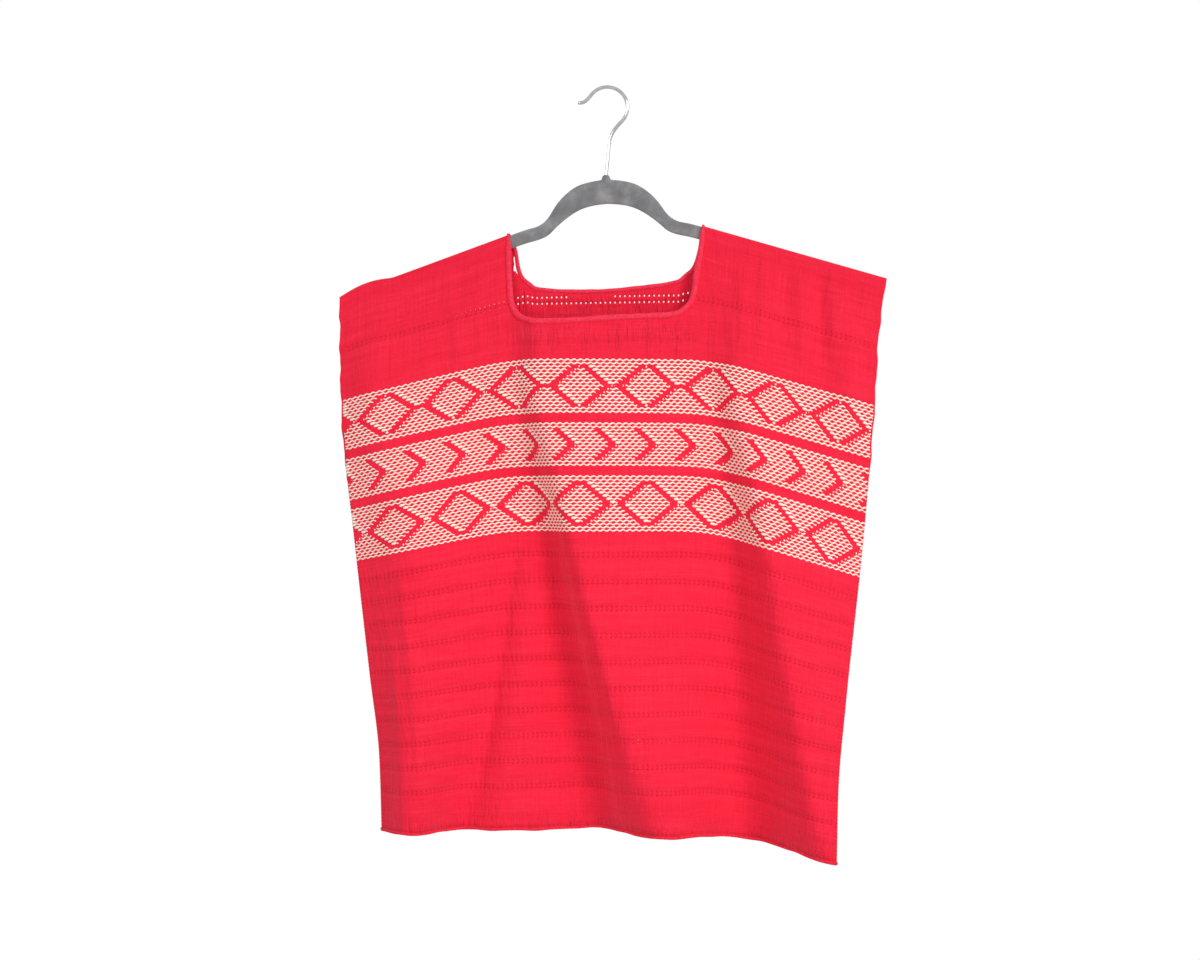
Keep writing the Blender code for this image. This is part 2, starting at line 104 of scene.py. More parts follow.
# The cloth's outline at one level down it: its edges' x, its height at x = 0, how it leans across, and
# how steeply it falls away past the hinges to each side.
Section = namedtuple("Section", "level left right height tilt left_slope right_slope")
SECTIONS = (
    Section(0.000, -0.2792, 0.2882, -0.1458, 0.0384, 0.310, 0.290),
    Section(0.060, -0.2785, 0.2790, -0.2058, 0.0211, 0.282, 0.290),
    Section(0.164, -0.2760, 0.2720, -0.3098, 0.0000, 0.240, 0.280),
    Section(0.286, -0.2637, 0.2605, -0.4323, 0.0000, 0.215, 0.310),
    Section(0.450, -0.2475, 0.2415, -0.5938, -0.010, 0.125, 0.280),
    Section(0.550, -0.2375, 0.2320, -0.6895, -0.0124, 0.070, 0.240),
    Section(0.635, -0.2352, 0.2290, -0.7693, -0.014, 0.026, 0.175),
)
HINGE_LEFT, HINGE_RIGHT = 0.108, 0.104  # where the cloth starts to fall away to the sides
HINGE_SOFTNESS = 0.014
EDGE_HOLD = 0.020  # the folds stay sharp and no crease shows nearer a side edge than this
FOLD_SOFTNESS = 0.0050  # the folds are rounded off over a few steps of this
FOLD_WEIGHTS = ((-2, 1), (-1, 2), (0, 3), (1, 2), (2, 1))  # those steps, and their weights

# Each line follows a crest or a valley of the folds down the cloth, past these three levels.
FOLD_LEVELS = (0.164, 0.286, 0.635)
Line = namedtuple("Line", "name x_chest depth_chest x_waist depth_waist x_hem depth_hem")
LEFT_SEAM = Line("left seam", -0.276, 0.002, -0.2637, 0.006, -0.2352, 0.004)
RIGHT_SEAM = Line("right seam", 0.272, 0.009, 0.2605, 0.016, 0.2290, 0.060)
FRONT_LINES = (
    Line("left crest", -0.240, 0.019, -0.206, 0.034, -0.200, 0.042),
    Line("a valley", -0.128, 0.008, -0.092, 0.006, -0.155, 0.002),
    Line("a crest", -0.112, 0.010, -0.079, 0.008, -0.118, 0.017),
    Line("b valley", -0.099, 0.008, -0.068, 0.005, -0.012, -0.009),
    Line("b crest", -0.077, 0.028, -0.050, 0.042, 0.053, 0.054),
    Line("c valley", 0.108, 0.010, 0.127, 0.013, 0.152, -0.001),
    Line("c crest", 0.127, 0.027, 0.154, 0.049, 0.2230, 0.066),
)
BACK_LINES = (
    Line("left crest", -0.190, 0.011, -0.185, 0.026, -0.165, 0.055),
    Line("left valley", -0.090, 0.009, -0.080, 0.011, -0.070, 0.018),
    Line("middle crest", 0.000, 0.014, 0.005, 0.030, 0.015, 0.056),
    Line("right valley", 0.095, 0.009, 0.095, 0.010, 0.095, 0.018),
    Line("right crest", 0.150, 0.010, 0.150, 0.014, 0.145, 0.030),
)

# A soft crease laid on a panel, in mm: from (u_top, w_top) to (u_low, w_low), how wide it falls
# away to its left and right, how far it stands out (or in, below 0), and how far it bows sideways.
Crease = namedtuple("Crease", "u_top w_top u_low w_low left right rise bow")
FRONT_CREASES = (
    (-78, 70, -70, 150, 6, 9, 1.2, 0),  # neck pucker left
    (112, 60, 118, 160, 6, 12, 1.3, 2),  # neck pucker right
    (140, 20, 152, 150, 8, 16, 2.2, 3),  # shoulder pucker right
    (-140, 20, -160, 140, 12, 9, 1.4, -4),  # shoulder pucker left
    (238, 4, 262, 190, 10, 22, 4.2, 6),  # tip droop right
    (-238, 4, -266, 170, 18, 10, 2.2, -4),  # tip droop left
    (-168, 330, -190, 600, 10, 28, 2.6, 6),  # soft streak left
    (-262, 430, -270, 700, 9, 16, 3, 0),  # side streak left
    (250, 380, 262, 640, 20, 10, 2.2, 4),  # side streak right
    (10, 520, 4, 700, 16, 30, 2, 0),  # hem wave middle
    (-92, 540, -100, 700, 14, 22, 1.6, 0),  # hem wave left
    (-176, 30, -166, 165, 5, 8, 1.6, 2),  # yoke streak left
    (-206, 50, -200, 165, 6, 8, 1.5, 0),  # yoke streak far left
    (-146, 40, -142, 165, 4, 7, 1.4, 0),  # beside neck left
    (-90, 90, -86, 150, 4, 3, -1.2, 0),  # below neck 1
    (-56, 90, -52, 150, 3, 5, 1.2, 0),  # below neck 2
    (-26, 90, -28, 160, 4, 4, -1.1, 0),  # below neck 3
    (12, 88, 16, 146, 3, 5, 1.2, 0),  # below neck 4
    (42, 88, 40, 156, 4, 3, -1.2, 0),  # below neck 5
    (76, 84, 82, 156, 4, 6, 1.6, 0),  # below neck 6
    (168, 4, 166, 130, 6, 12, 3.6, 3),  # shoulder ridge right
    (190, 4, 196, 120, 6, 7, -2.2, 0),  # shoulder valley right
    (206, 4, 214, 130, 5, 10, 3.4, 2),  # second ridge right
    (230, 2, 238, 120, 8, 6, -4, 2),  # dark valley right
    (268, 30, 274, 165, 9, 12, 3.6, 0),  # tip ridge right
    (-246, 290, -240, 630, 4, 12, 2.4, 2),  # edge streak left
    (-262, 400, -256, 640, 4, 8, 1.8, 0),  # edge streak low
    (-52, 300, 14, 660, 10, 24, 5.5, 0),  # b crest's shoulder
    (-30, 340, 44, 640, 6, 10, 1.6, 0),  # its second shoulder
    (62, 330, 86, 660, 18, 26, 2.4, 4),  # centre swell
    (-108, 290, -172, 640, 12, 5, -3.6, 0),  # the dip beside a valley
)
BACK_CREASES = (  # in the manner of the front's
    (30, 64, 28, 150, 7, 10, 1.2, 0),  # neck pucker
    (-52, 64, -60, 140, 6, 10, 1.1, 2),  # neck pucker left
    (-150, 20, -166, 170, 12, 9, 1.5, -3),  # shoulder pucker
    (160, 20, 178, 150, 10, 15, 1.4, 3),  # shoulder pucker right
    (58, 300, 40, 560, 24, 11, 2.4, 5),  # soft streak
    (236, 360, 250, 700, 18, 12, 2.6, 0),  # side streak
    (-120, 500, -132, 700, 20, 14, 2.2, 0),  # hem wave
)

CREASE_END = 0.3  # the share of its length over which a crease dies away at each end
CREASE_TOP = 0.012  # they also die away this near the shoulder fold

# The free edges of the armholes ripple: out and sideways, in waves of so many radians for each metre.
RIPPLE_REACH, RIPPLE_TOP = 0.012, 0.030
RIPPLE_SIDEWAYS, RIPPLE_OUT = 0.0006, 0.0009
LONG_RIPPLE, SHORT_RIPPLE, OUT_RIPPLE = 131, 311, 170

# ---------------------------------------------------------------- the weave's own sizes
HOLE_COUNT = 111  # places for a hole along an openwork row, 5.3 mm apart
HOLE_WIDTH = {"front": 0.0007, "back": 0.0012}  # the bundles of threads between take the rest
HOLE_FROM_NECK = 0.006  # no hole is nearer the neck's edge than this
CLOSED_HOLES = (7, 13, 61, 5)  # no hole where column * 7 + row * 13 leaves 5 over from 61
Pair = namedtuple("Pair", "middle half hole_height")  # half: from a pair's middle to each of its rows
YOKE_PAIRS = {"front": Pair(0.0758, 0.0026, 0.0006), "back": Pair(0.0748, 0.0032, 0.0016)}
SKIRT_PAIR_PITCH = 0.0277
SKIRT_PAIRS = {"front": (0.339, 10), "back": (0.158, 17)}  # the first one's middle, how many
SKIRT_PAIR_HALF, SKIRT_HOLE_HEIGHT = 0.0019, 0.0007
TWIST_REACH = 0.0036  # how far from a pair's middle the threads are drawn together
TWIST_FULL = 0.6  # the share of that reach within which they are drawn together fully
TWIST_SHARPNESS = 1.6
TWIST_SLANT = 0.13  # how far the bundles lean, as a share of their pitch for each mm
TWIST_START = -0.15
# how much darker the openwork's dips are painted: painted shade
TWIST_PAINTED_SHADE = 0.15
HEM_GATHERS = (596.0, 630.0)  # mm down the cloth where they start and are full
GATHER_MIDDLE = {"front": 0.112, "back": 0.082}
NECK_GATHERS = (24.0, 6.0)  # mm up or down from that middle
NECK_GATHERS_ACROSS = (0.21, 0.15)  # from the cloth's middle, as shares of its width
TURN_ROWS = 6
FREE_ROW = 0.0070  # the cloth's rows where nothing needs them closer
NECK_ROW, NECK_ROWS_END = 0.0022, 0.112  # closer rows, as far down as the neck needs them

Band = namedtuple("Band", "name middle height rows")
BANDS = (
    Band("brocade_band_chest", 0.1660, 0.0565, 17),
    Band("brocade_band_middle", 0.2257, 0.0450, 14),
    Band("brocade_band_waist", 0.2863, 0.0583, 18),
)
DOT_PITCH = 0.00705  # the bare dots between two rows of yarn
DOT_HALF_LENGTH = 0.0025
DOT_HALF_HEIGHT = 0.00150
DOT_SLANT = 0.0003  # how far a dot's upper half stands to the right, and its lower half to the left
FLECK, FLECK_GAP = 0.0018, 0.0009  # the loose stitch at the start of a run, and the gap after it
YARN_GAP = 0.00022  # half the gap between two yarns where there is no dot
YARN_EDGE = 0.2985  # the brocade yarn turns back this far from the middle
YARN_STEPS = 8  # rings for each pitch of the dots
YARN_SINK = 0.0010  # length over which a run comes up out of the cloth
YARN_THIN = 0.35  # its width where it does so, as a share of its full width
YARN_NEAR, YARN_NEXT = 0.0003, 0.0006  # where a run's second ring is, and the least way to its third
DOT_RISE = 0.002  # length over which a run's dots come in, past 0.6 of the length without them
YARN_BELOW, YARN_ABOVE = -0.0002, 0.0002  # its middle's height where it is sunk, and the least elsewhere
YARN_FULLNESS = 0.42  # how much higher it stands for each mm of its half width
YARN_SECTION = ((-1.0, 0.22), (-0.5, 0.9), (0.5, 0.9), (1.0, 0.22), (0.0, -0.25))  # across, out
SHORTEST_RUN = 0.0014
ROPE_ROWS = 2  # whole rows of yarn along a band's top and foot
DIAMOND_PERIOD = 0.07266
DIAMOND_FIRST = -0.2470
DIAMOND_COUNT = 8
DIAMOND_HALF_WIDTH = 0.0262
DIAMOND_HALF_HEIGHT = 0.0212
DIAMOND_OUTER = 0.0342  # half the width of the bare frame round a diamond
DIAMOND_SOLID = 0.0065  # how long a run has no dots where the pattern steps to the right
ARROW_PERIOD = 0.0432
ARROW_FIRST = -0.2952
ARROW_COUNT = 14
ARROW_LEAN = 1.12  # how far back its arms go for each mm up or down
ARROW_HALF = 0.0039  # half the width of its line
ARROW_SOLID = 0.0060


def smooth(t):
    t = np.clip(t, 0.0, 1.0)
    return t * t * (3 - 2 * t)


def mix(a, b, t):
    return a + (b - a) * t


def through(knots, values, x):
    """A smooth curve through values at knots, that makes no new crest between two of them."""
    knots, values = np.asarray(knots, float), np.asarray(values, float)
    x = np.clip(x, knots[0], knots[-1])
    i = np.clip(np.searchsorted(knots, x, side="right") - 1, 0, len(knots) - 2)
    slopes = np.diff(values) / np.diff(knots)
    before, after = slopes[:-1], slopes[1:]
    alike = before * after > 0
    inner = np.where(alike, 2 * before * after / np.where(alike, before + after, 1.0), 0.0)
    tangents = np.concatenate((slopes[:1], inner, slopes[-1:]))
    step = knots[i + 1] - knots[i]
    t = (x - knots[i]) / step
    bend = step * t * (1 - t) * ((1 - t) * tangents[i] - t * tangents[i + 1])
    return mix(values[i], values[i + 1], t * t * (3 - 2 * t)) + bend


def section_value(name, level):
    return float(through([s.level for s in SECTIONS], [getattr(s, name) for s in SECTIONS], level))


def line_at(line, level):
    x = through(FOLD_LEVELS, (line.x_chest, line.x_waist, line.x_hem), level)
    depth = through(FOLD_LEVELS, (line.depth_chest, line.depth_waist, line.depth_hem), level)
    return float(x), float(depth)


def hinge(distance):
    return HINGE_SOFTNESS * np.log1p(np.exp(distance / HINGE_SOFTNESS))


def turned(distance):
    """How far in and how far out the cloth has gone, this far along a turn."""
    angle = np.clip((distance - FLAT) / TURN_RADIUS, 0.0, math.pi / 2)
    inward = TURN_RADIUS * (1 - np.cos(angle)) + np.maximum(0.0, distance - TURN_LENGTH)
    outward = np.minimum(distance, FLAT) + TURN_RADIUS * np.sin(angle)
    return inward, outward


def fold_height(x):
    along = x - ARM_APEX.x
    angle = ARM_ANGLE - np.copysign(TILT, along)
    past_tip = (-along - ARM_REACH) / (ARM_APEX.x - SECTIONS[0].left - ARM_REACH)
    bridge = END_LIFT * np.sin(math.pi * np.clip(past_tip, 0.0, 1.0))
    return ARM_APEX.z - np.tan(angle) * np.abs(along) + bridge


def crease_rise(creases, u, w):
    """How far the soft creases push the cloth out at (u, w)."""
    total = np.zeros(np.broadcast(u, w).shape)
    for row in creases:
        c = Crease(*(size * MM for size in row))
        t = (w - c.w_top) / (c.w_low - c.w_top)
        side = u - mix(c.u_top, c.u_low, t) - c.bow * 4 * t * (1 - t)
        across = np.exp(-((side / np.where(side < 0, c.left, c.right)) ** 2))
        total += c.rise * smooth(t / CREASE_END) * smooth((1 - t) / CREASE_END) * across
    return total


TABLE_TURN, TABLE_ACROSS, TABLE_DOWN, TABLE_PLACES = 12, 440, 260, 400  # how fine a panel's table is


class Panel:
    """The middle surface of one cloth panel, as a fine table of points to read between."""

    def __init__(self, name, lines, side, creases):
        self.name, self.lines, self.side, self.creases = name, lines, side, creases
        turn = np.linspace(0.0, TURN_LENGTH, TABLE_TURN)
        rest = np.linspace(TURN_LENGTH, WIDTH - TURN_LENGTH, TABLE_ACROSS)[1:-1]
        self.us = np.concatenate((turn, rest, WIDTH - turn[::-1])) - WIDTH / 2
        self.vs = np.concatenate((turn, np.linspace(TURN_LENGTH, LENGTH, TABLE_DOWN)[1:]))
        self.points = np.array([self.row(v) for v in self.vs])
        across = np.gradient(self.points, self.us, axis=1)
        down = np.gradient(self.points, self.vs, axis=0)
        normals = side * np.cross(across, down)
        self.normals = normals / np.linalg.norm(normals, axis=2, keepdims=True)

    def height(self, x, level):
        """The height of a weft line at x, before the turn over the hanger."""
        left, right = hinge(-x - HINGE_LEFT), hinge(x - HINGE_RIGHT)

        def plain(at):
            sides = section_value("left_slope", at) * left + section_value("right_slope", at) * right
            return section_value("height", at) + section_value("tilt", at) * x - sides

        beside_neck = smooth((np.abs(x - ARM_APEX.x) - SHOULDER_START + NECK_BLEND) / NECK_BLEND)
        near_fold = 1 - smooth(level / FOLD_LEVELS[0])
        return plain(level) + (fold_height(x) - plain(0.0)) * near_fold * beside_neck

    def row(self, v):
        """The points of one level, for every place in self.us."""
        below = max(v, FOLD_LEVELS[0])
        seams = [line_at(seam, below) for seam in (LEFT_SEAM, RIGHT_SEAM)]
        knots = [line_at(line, below) for line in self.lines]
        ends = [(x, HALF_APART - self.side * y) for x, y in seams]
        knots = np.array([ends[0], *knots, ends[1]])
        left, right = section_value("left", v), section_value("right", v)
        xs = left + (knots[:, 0] - seams[0][0]) * (right - left) / (seams[1][0] - seams[0][0])
        opened = smooth((v - TURN_LENGTH) / (FOLD_LEVELS[0] - TURN_LENGTH))
        depths = mix(HALF_APART, knots[:, 1], opened)
        places = np.linspace(left, right, TABLE_PLACES)

        def depth_at(x):
            """The folds' depth at x, rounded off everywhere but at the seams."""
            near = [weight * through(xs, depths, x + step * FOLD_SOFTNESS) for step, weight in FOLD_WEIGHTS]
            inside = smooth(np.minimum(x - left, right - x) / EDGE_HOLD)
            return mix(through(xs, depths, x), sum(near) / sum(weight for _, weight in FOLD_WEIGHTS), inside)

        line = np.stack((places, depth_at(places), self.height(places, v)), axis=1)
        lengths = np.concatenate(([0.0], np.cumsum(np.linalg.norm(np.diff(line, axis=0), axis=1))))
        closed = SEAM_CATCH * smooth((v - SEAM_START + SEAM_EASE) / SEAM_EASE)
        closed = closed + (1 - SEAM_CATCH) * smooth((v - SEAM_START) / SEAM_SETTLE)
        from_edge = WIDTH / 2 - np.abs(self.us)
        inward, outward = turned(from_edge)
        half_width = WIDTH / 2 - closed * (TURN_LENGTH - TURN_RADIUS)
        along = mix(from_edge, inward, closed) / (2 * half_width) * lengths[-1]
        along = np.where(self.us > 0, lengths[-1] - along, along)
        x = np.interp(along, lengths, places)
        drop, over = turned(v)
        out = mix(TURN_DEPTH, outward, closed) * over / TURN_DEPTH
        arm = math.sin(math.pi * min(1.0, v / SEAM_START)) * smooth(1 - from_edge / ARM_OPENING_WIDTH)
        depth = depth_at(x) + out - TURN_DEPTH + ARM_OPENING * arm
        hold = smooth(from_edge / EDGE_HOLD) * smooth(v / CREASE_TOP)
        depth = depth + crease_rise(self.creases, self.us, v) * hold
        free = 1 - smooth((v - SEAM_START + SEAM_EASE) / SEAM_EASE)
        edge = np.exp(-((from_edge / RIPPLE_REACH) ** 2)) * free * smooth(v / RIPPLE_TOP)
        way = np.sign(self.us)
        waves = np.sin(v * LONG_RIPPLE + 1.3 * way) + 0.4 * np.sin(v * SHORT_RIPPLE + self.side)
        x = x + way * edge * RIPPLE_SIDEWAYS * waves
        depth = depth + edge * RIPPLE_OUT * np.sin(v * OUT_RIPPLE + 2 * self.side + way)
        z = self.height(x, v) + min(v, TURN_LENGTH) - min(float(drop), TURN_RADIUS)
        return np.stack((x, self.side * depth, z), axis=1)

    def at(self, u, w, out=0.0):
        """The points at (u, w) on the cloth, moved out of it by out."""
        u, w = np.broadcast_arrays(np.asarray(u, float), np.asarray(w, float))
        v = np.clip(w, 0.0, LENGTH)
        i = np.clip(np.searchsorted(self.us, u, side="right") - 1, 0, len(self.us) - 2)
        j = np.clip(np.searchsorted(self.vs, v, side="right") - 1, 0, len(self.vs) - 2)
        s = ((u - self.us[i]) / (self.us[i + 1] - self.us[i]))[..., None]
        t = ((v - self.vs[j]) / (self.vs[j + 1] - self.vs[j]))[..., None]

        def read(table):
            return mix(mix(table[j, i], table[j, i + 1], s), mix(table[j + 1, i], table[j + 1, i + 1], s), t)

        normal = read(self.normals)
        normal = normal / np.linalg.norm(normal, axis=-1, keepdims=True)
        return read(self.points) + normal * np.asarray(out, float)[..., None]


FRONT = Panel("front", FRONT_LINES, -1, FRONT_CREASES)
BACK = Panel("back", BACK_LINES, 1, BACK_CREASES)


# ---------------------------------------------------------------- materials
def linear(hex_colour):
    """An sRGB hex colour as linear RGBA."""
    parts = [int(hex_colour[k : k + 2], 16) / 255 for k in (1, 3, 5)]
    return (*(p / 12.92 if p <= 0.04045 else ((p + 0.055) / 1.055) ** 2.4 for p in parts), 1.0)


def add(tree, kind, sockets=(), stops=(), **fields):
    """Adds a node and sets its fields. Its sockets go by name, or in their own order, and each gets a
    value, or is linked to a node or an output. Stops are a colour ramp's (position, hex)."""
    node = tree.nodes.new("ShaderNode" + kind)
    for field, value in fields.items():
        setattr(node, field, value)
    for name, value in sockets.items() if isinstance(sockets, dict) else enumerate(sockets):
        source = value.outputs[0] if isinstance(value, bpy.types.Node) else value
        if isinstance(source, bpy.types.NodeSocket):
            tree.links.new(source, node.inputs[name])
        else:
            node.inputs[name].default_value = source
    for k, (position, colour) in enumerate(stops):
        ramp = node.color_ramp.elements
        stop = ramp[k] if k < len(ramp) else ramp.new(position)
        stop.position, stop.color = position, linear(colour)
    return node


def blank_material(name):
    """A new material and its tree, with nothing in it."""
    made = bpy.data.materials.new(name)
    made.use_nodes = True
    made.node_tree.nodes.clear()
    return made, made.node_tree


def shaded(made, sockets):
    """The material, once a shader with these sockets ends its tree."""
    shader = add(made.node_tree, "BsdfPrincipled", sockets)
    add(made.node_tree, "OutputMaterial", (shader,))
    return made


def nap(weight, roughness, tint):
    """The sheen of the fibres that stand up from a surface."""
    return {"Sheen Weight": weight, "Sheen Roughness": roughness, "Sheen Tint": linear(tint)}


def cloth_noise(tree, across, down, offset=(0.0, 0.0, 0.0), detail=2.0, roughness=0.6):
    """Noise whose grains are across mm by down mm on the cloth's own map."""
    scale = (WIDTH / MM / across, LENGTH / MM / down, 1.0)
    flat = add(tree, "UVMap", uv_map="cloth")
    place = add(tree, "Mapping", {"Vector": flat, "Location": offset, "Scale": scale})
    return add(tree, "TexNoise", {"Vector": place, "Scale": 1.0, "Detail": detail, "Roughness": roughness})


def openwork_twist(tree, x, down, panel_name):
    """0 on plain cloth, up to 1 in the dips between the drawn-together threads of an openwork pair.
    It dents the cloth's bump there and darkens its colour as painted shade.
    """
    first, count = SKIRT_PAIRS[panel_name]
    pitch, first, reach = SKIRT_PAIR_PITCH / MM, first / MM, TWIST_REACH / MM
    turns = add(tree, "Math", (down, 1 / pitch, 0.5 - first / pitch), operation="MULTIPLY_ADD")
    share = add(tree, "Math", (turns,), operation="FRACT")
    share = add(tree, "Math", (share, 0.5), operation="SUBTRACT")
    share = add(tree, "Math", (share,), operation="ABSOLUTE")
    above = add(tree, "Math", (turns, 0.0), operation="LESS_THAN")
    below = add(tree, "Math", (turns, float(count)), operation="GREATER_THAN")
    outside = add(tree, "Math", (above, below), operation="ADD")
    share = add(tree, "Math", (share, outside), operation="ADD")
    skirt = add(tree, "Math", (share, pitch), operation="MULTIPLY")
    yoke = add(tree, "Math", (down, YOKE_PAIRS[panel_name].middle / MM), operation="SUBTRACT")
    yoke = add(tree, "Math", (yoke,), operation="ABSOLUTE")
    away = add(tree, "Math", (skirt, yoke), operation="MINIMUM")
    near = add(tree, "MapRange", (away, reach, reach * TWIST_FULL))
    slant = add(tree, "Math", (away, TWIST_SLANT, TWIST_START), operation="MULTIPLY_ADD")
    hole_pitch = (WIDTH - 2 * TURN_LENGTH) / HOLE_COUNT / MM
    along = add(tree, "Math", (x, WIDTH / MM / hole_pitch, slant), operation="MULTIPLY_ADD")
    along = add(tree, "Math", (along,), operation="FRACT")
    along = add(tree, "Math", (along, 0.5), operation="SUBTRACT")
    along = add(tree, "Math", (along,), operation="ABSOLUTE")
    dips = add(tree, "Math", (along, 2.0), operation="MULTIPLY")
    dips = add(tree, "Math", (dips, TWIST_SHARPNESS), operation="POWER")
    return add(tree, "Math", (near, dips), operation="MULTIPLY")


def gathers(tree, x, down, panel_name):
    """0 on plain cloth, up to 1 under the neck roll and above the hem roll, which draw the cloth in."""
    hem = add(tree, "MapRange", (down, *HEM_GATHERS))
    off_neck = add(tree, "Math", (down, GATHER_MIDDLE[panel_name] / MM), operation="SUBTRACT")
    off_neck = add(tree, "Math", (off_neck,), operation="ABSOLUTE")
    neck = add(tree, "MapRange", (off_neck, *NECK_GATHERS))
    off_middle = add(tree, "Math", (x, 0.5), operation="SUBTRACT")
    off_middle = add(tree, "Math", (off_middle,), operation="ABSOLUTE")
    beside = add(tree, "MapRange", (off_middle, *NECK_GATHERS_ACROSS))
    neck = add(tree, "Math", (neck, beside), operation="MULTIPLY")
    return add(tree, "Math", (hem, neck), operation="MAXIMUM")


def handwoven_cotton(name, panel_name, colours):
    """Handwoven plain-weave cotton, dyed red: matte, with picks of uneven thickness that show as fine
    lines across, fainter warp ends, a soft nap, small upright puckers by the rolls, and threads drawn
    together in slanting bundles along the openwork, with painted shade in the dips between them."""
    made, tree = blank_material(name)
    flat = add(tree, "UVMap", uv_map="cloth")
    split = add(tree, "SeparateXYZ", (flat,))
    x = split.outputs["X"]
    down = add(tree, "Math", (split.outputs["Y"], -LENGTH / MM, LENGTH / MM), operation="MULTIPLY_ADD")
    # Picks are 0.9 mm apart and uneven over 40 mm: about half as fine as the real ones, so that they show.
    picks = cloth_noise(tree, 40.0, 0.9, detail=3.0, roughness=0.65)
    ends = cloth_noise(tree, 1.1, 55.0, (3.1, 7.7, 0.0))
    grain = cloth_noise(tree, 3.4, 2.2, (8.3, 2.9, 0.0), detail=3.0)
    broad = cloth_noise(tree, 160.0, 9.0, roughness=0.5)
    twist = openwork_twist(tree, x, down, panel_name)
    woven = add(tree, "Math", (picks, 0.50), operation="MULTIPLY")
    woven = add(tree, "Math", (ends, 0.30, woven), operation="MULTIPLY_ADD")
    woven = add(tree, "Math", (grain, 0.20, woven), operation="MULTIPLY_ADD")
    # the dips between the openwork's bundles are painted darker: painted shade
    woven = add(tree, "Math", (twist, -TWIST_PAINTED_SHADE, woven), operation="MULTIPLY_ADD")
    tone = add(tree, "Math", (broad, 0.25, woven), operation="MULTIPLY_ADD")
    colour = add(tree, "ValToRGB", (tone,), zip((0.40, 0.62, 0.80), colours))
    # Soft upright ripples, 18 mm across and 90 mm long, where the hung cloth does not lie quite flat.
    ripples = cloth_noise(tree, 18.0, 90.0, (5.3, 1.9, 0.0), detail=4.0)
    bump = add(tree, "Bump", {"Height": ripples, "Strength": 0.8, "Distance": 0.0052})
    puckers = cloth_noise(tree, 3.6, 24.0, (1.7, 6.1, 0.0))
    puckers = add(tree, "Math", (puckers, gathers(tree, x, down, panel_name)), operation="MULTIPLY")
    bump = add(tree, "Bump", {"Height": puckers, "Strength": 1.0, "Distance": 0.0040, "Normal": bump})
    bump = add(tree, "Bump", {"Height": woven, "Strength": 0.5, "Distance": 0.0005, "Normal": bump})
    return shaded(made, {"Base Color": colour, "Roughness": 0.86, "Specular IOR Level": 0.2, "Normal": bump,
                         **nap(0.3, 0.5, "#ff8ca6")})


def spun_yarn(name, colours, ply_length):
    """Soft spun cotton yarn, cream: matte, with the slanting lines of its plies, ply_length mm apart, with
    painted shade in the grooves between them, and a little unevenness of colour from yarn to yarn."""
    made, tree = blank_material(name)
    flat = add(tree, "UVMap", uv_map="cloth")
    split = add(tree, "SeparateXYZ", (flat,))
    run = add(tree, "Math", (split.outputs["X"], WIDTH / MM / ply_length), operation="MULTIPLY")
    twist = add(tree, "Math", (split.outputs["Y"], 2.0, run), operation="MULTIPLY_ADD")
    turns = add(tree, "Math", (twist, 2 * math.pi), operation="MULTIPLY")
    plies = add(tree, "Math", (turns,), operation="SINE")
    shade = add(tree, "MapRange", (plies, -1.0, 1.0))
    place = add(tree, "TexCoord").outputs["Object"]
    patches = add(tree, "TexNoise", {"Vector": place, "Scale": 160.0, "Detail": 2.0})  # 6 mm across
    # the plies' grooves darken the colour: painted shade
    both = add(tree, "Math", (shade, 0.35, patches), operation="MULTIPLY_ADD")
    colour = add(tree, "ValToRGB", (both,), zip((0.25, 0.60, 0.95), colours))
    bump = add(tree, "Bump", {"Height": shade, "Strength": 0.5, "Distance": 0.0003})
    return shaded(made, {"Base Color": colour, "Roughness": 0.80, "Specular IOR Level": 0.3, "Normal": bump,
                         **nap(0.25, 0.5, "#fff6ec")})


def sewing_cotton(name, colours):
    """Red sewing cotton and rolled cloth edge: matte, mottled where the thread passes over."""
    made, tree = blank_material(name)
    place = add(tree, "TexCoord").outputs["Object"]
    mottle = add(tree, "TexNoise", {"Vector": place, "Scale": 420.0, "Detail": 3.0})  # 2.4 mm across
    colour = add(tree, "ValToRGB", (mottle,), zip((0.30, 0.55, 0.80), colours))
    bump = add(tree, "Bump", {"Height": mottle, "Strength": 0.4, "Distance": 0.0003})
    return shaded(made, {"Base Color": colour, "Roughness": 0.85, "Specular IOR Level": 0.25, "Normal": bump,
                         **nap(0.3, 0.5, "#ff8c98")})


def flocked_plastic(name):
    """Grey flock on a moulded ABS hanger: short upright fibres, so it is dull, soft at its edges and
    faintly cloudy where the nap lies one way or the other."""
    made, tree = blank_material(name)
    place = add(tree, "TexCoord").outputs["Object"]
    # Tufts are 0.7 mm across, coarser than real flock, so that they show; the clouds are 13 mm across.
    fibres = add(tree, "TexNoise", {"Vector": place, "Scale": 1500.0, "Detail": 2.0, "Roughness": 0.7})
    clouds = add(tree, "TexNoise", {"Vector": place, "Scale": 75.0, "Detail": 3.0})
    both = add(tree, "Math", (fibres, 0.5, clouds), operation="MULTIPLY_ADD")
    colour = add(tree, "ValToRGB", (both,), ((0.45, "#6c6b6d"), (0.75, "#818082"), (1.0, "#9b999b")))
    bump = add(tree, "Bump", {"Height": fibres, "Strength": 0.6, "Distance": 0.0003})
    return shaded(made, {"Base Color": colour, "Roughness": 0.95, "Specular IOR Level": 0.15, "Normal": bump,
                         **nap(0.5, 0.6, "#d9d6d8")})


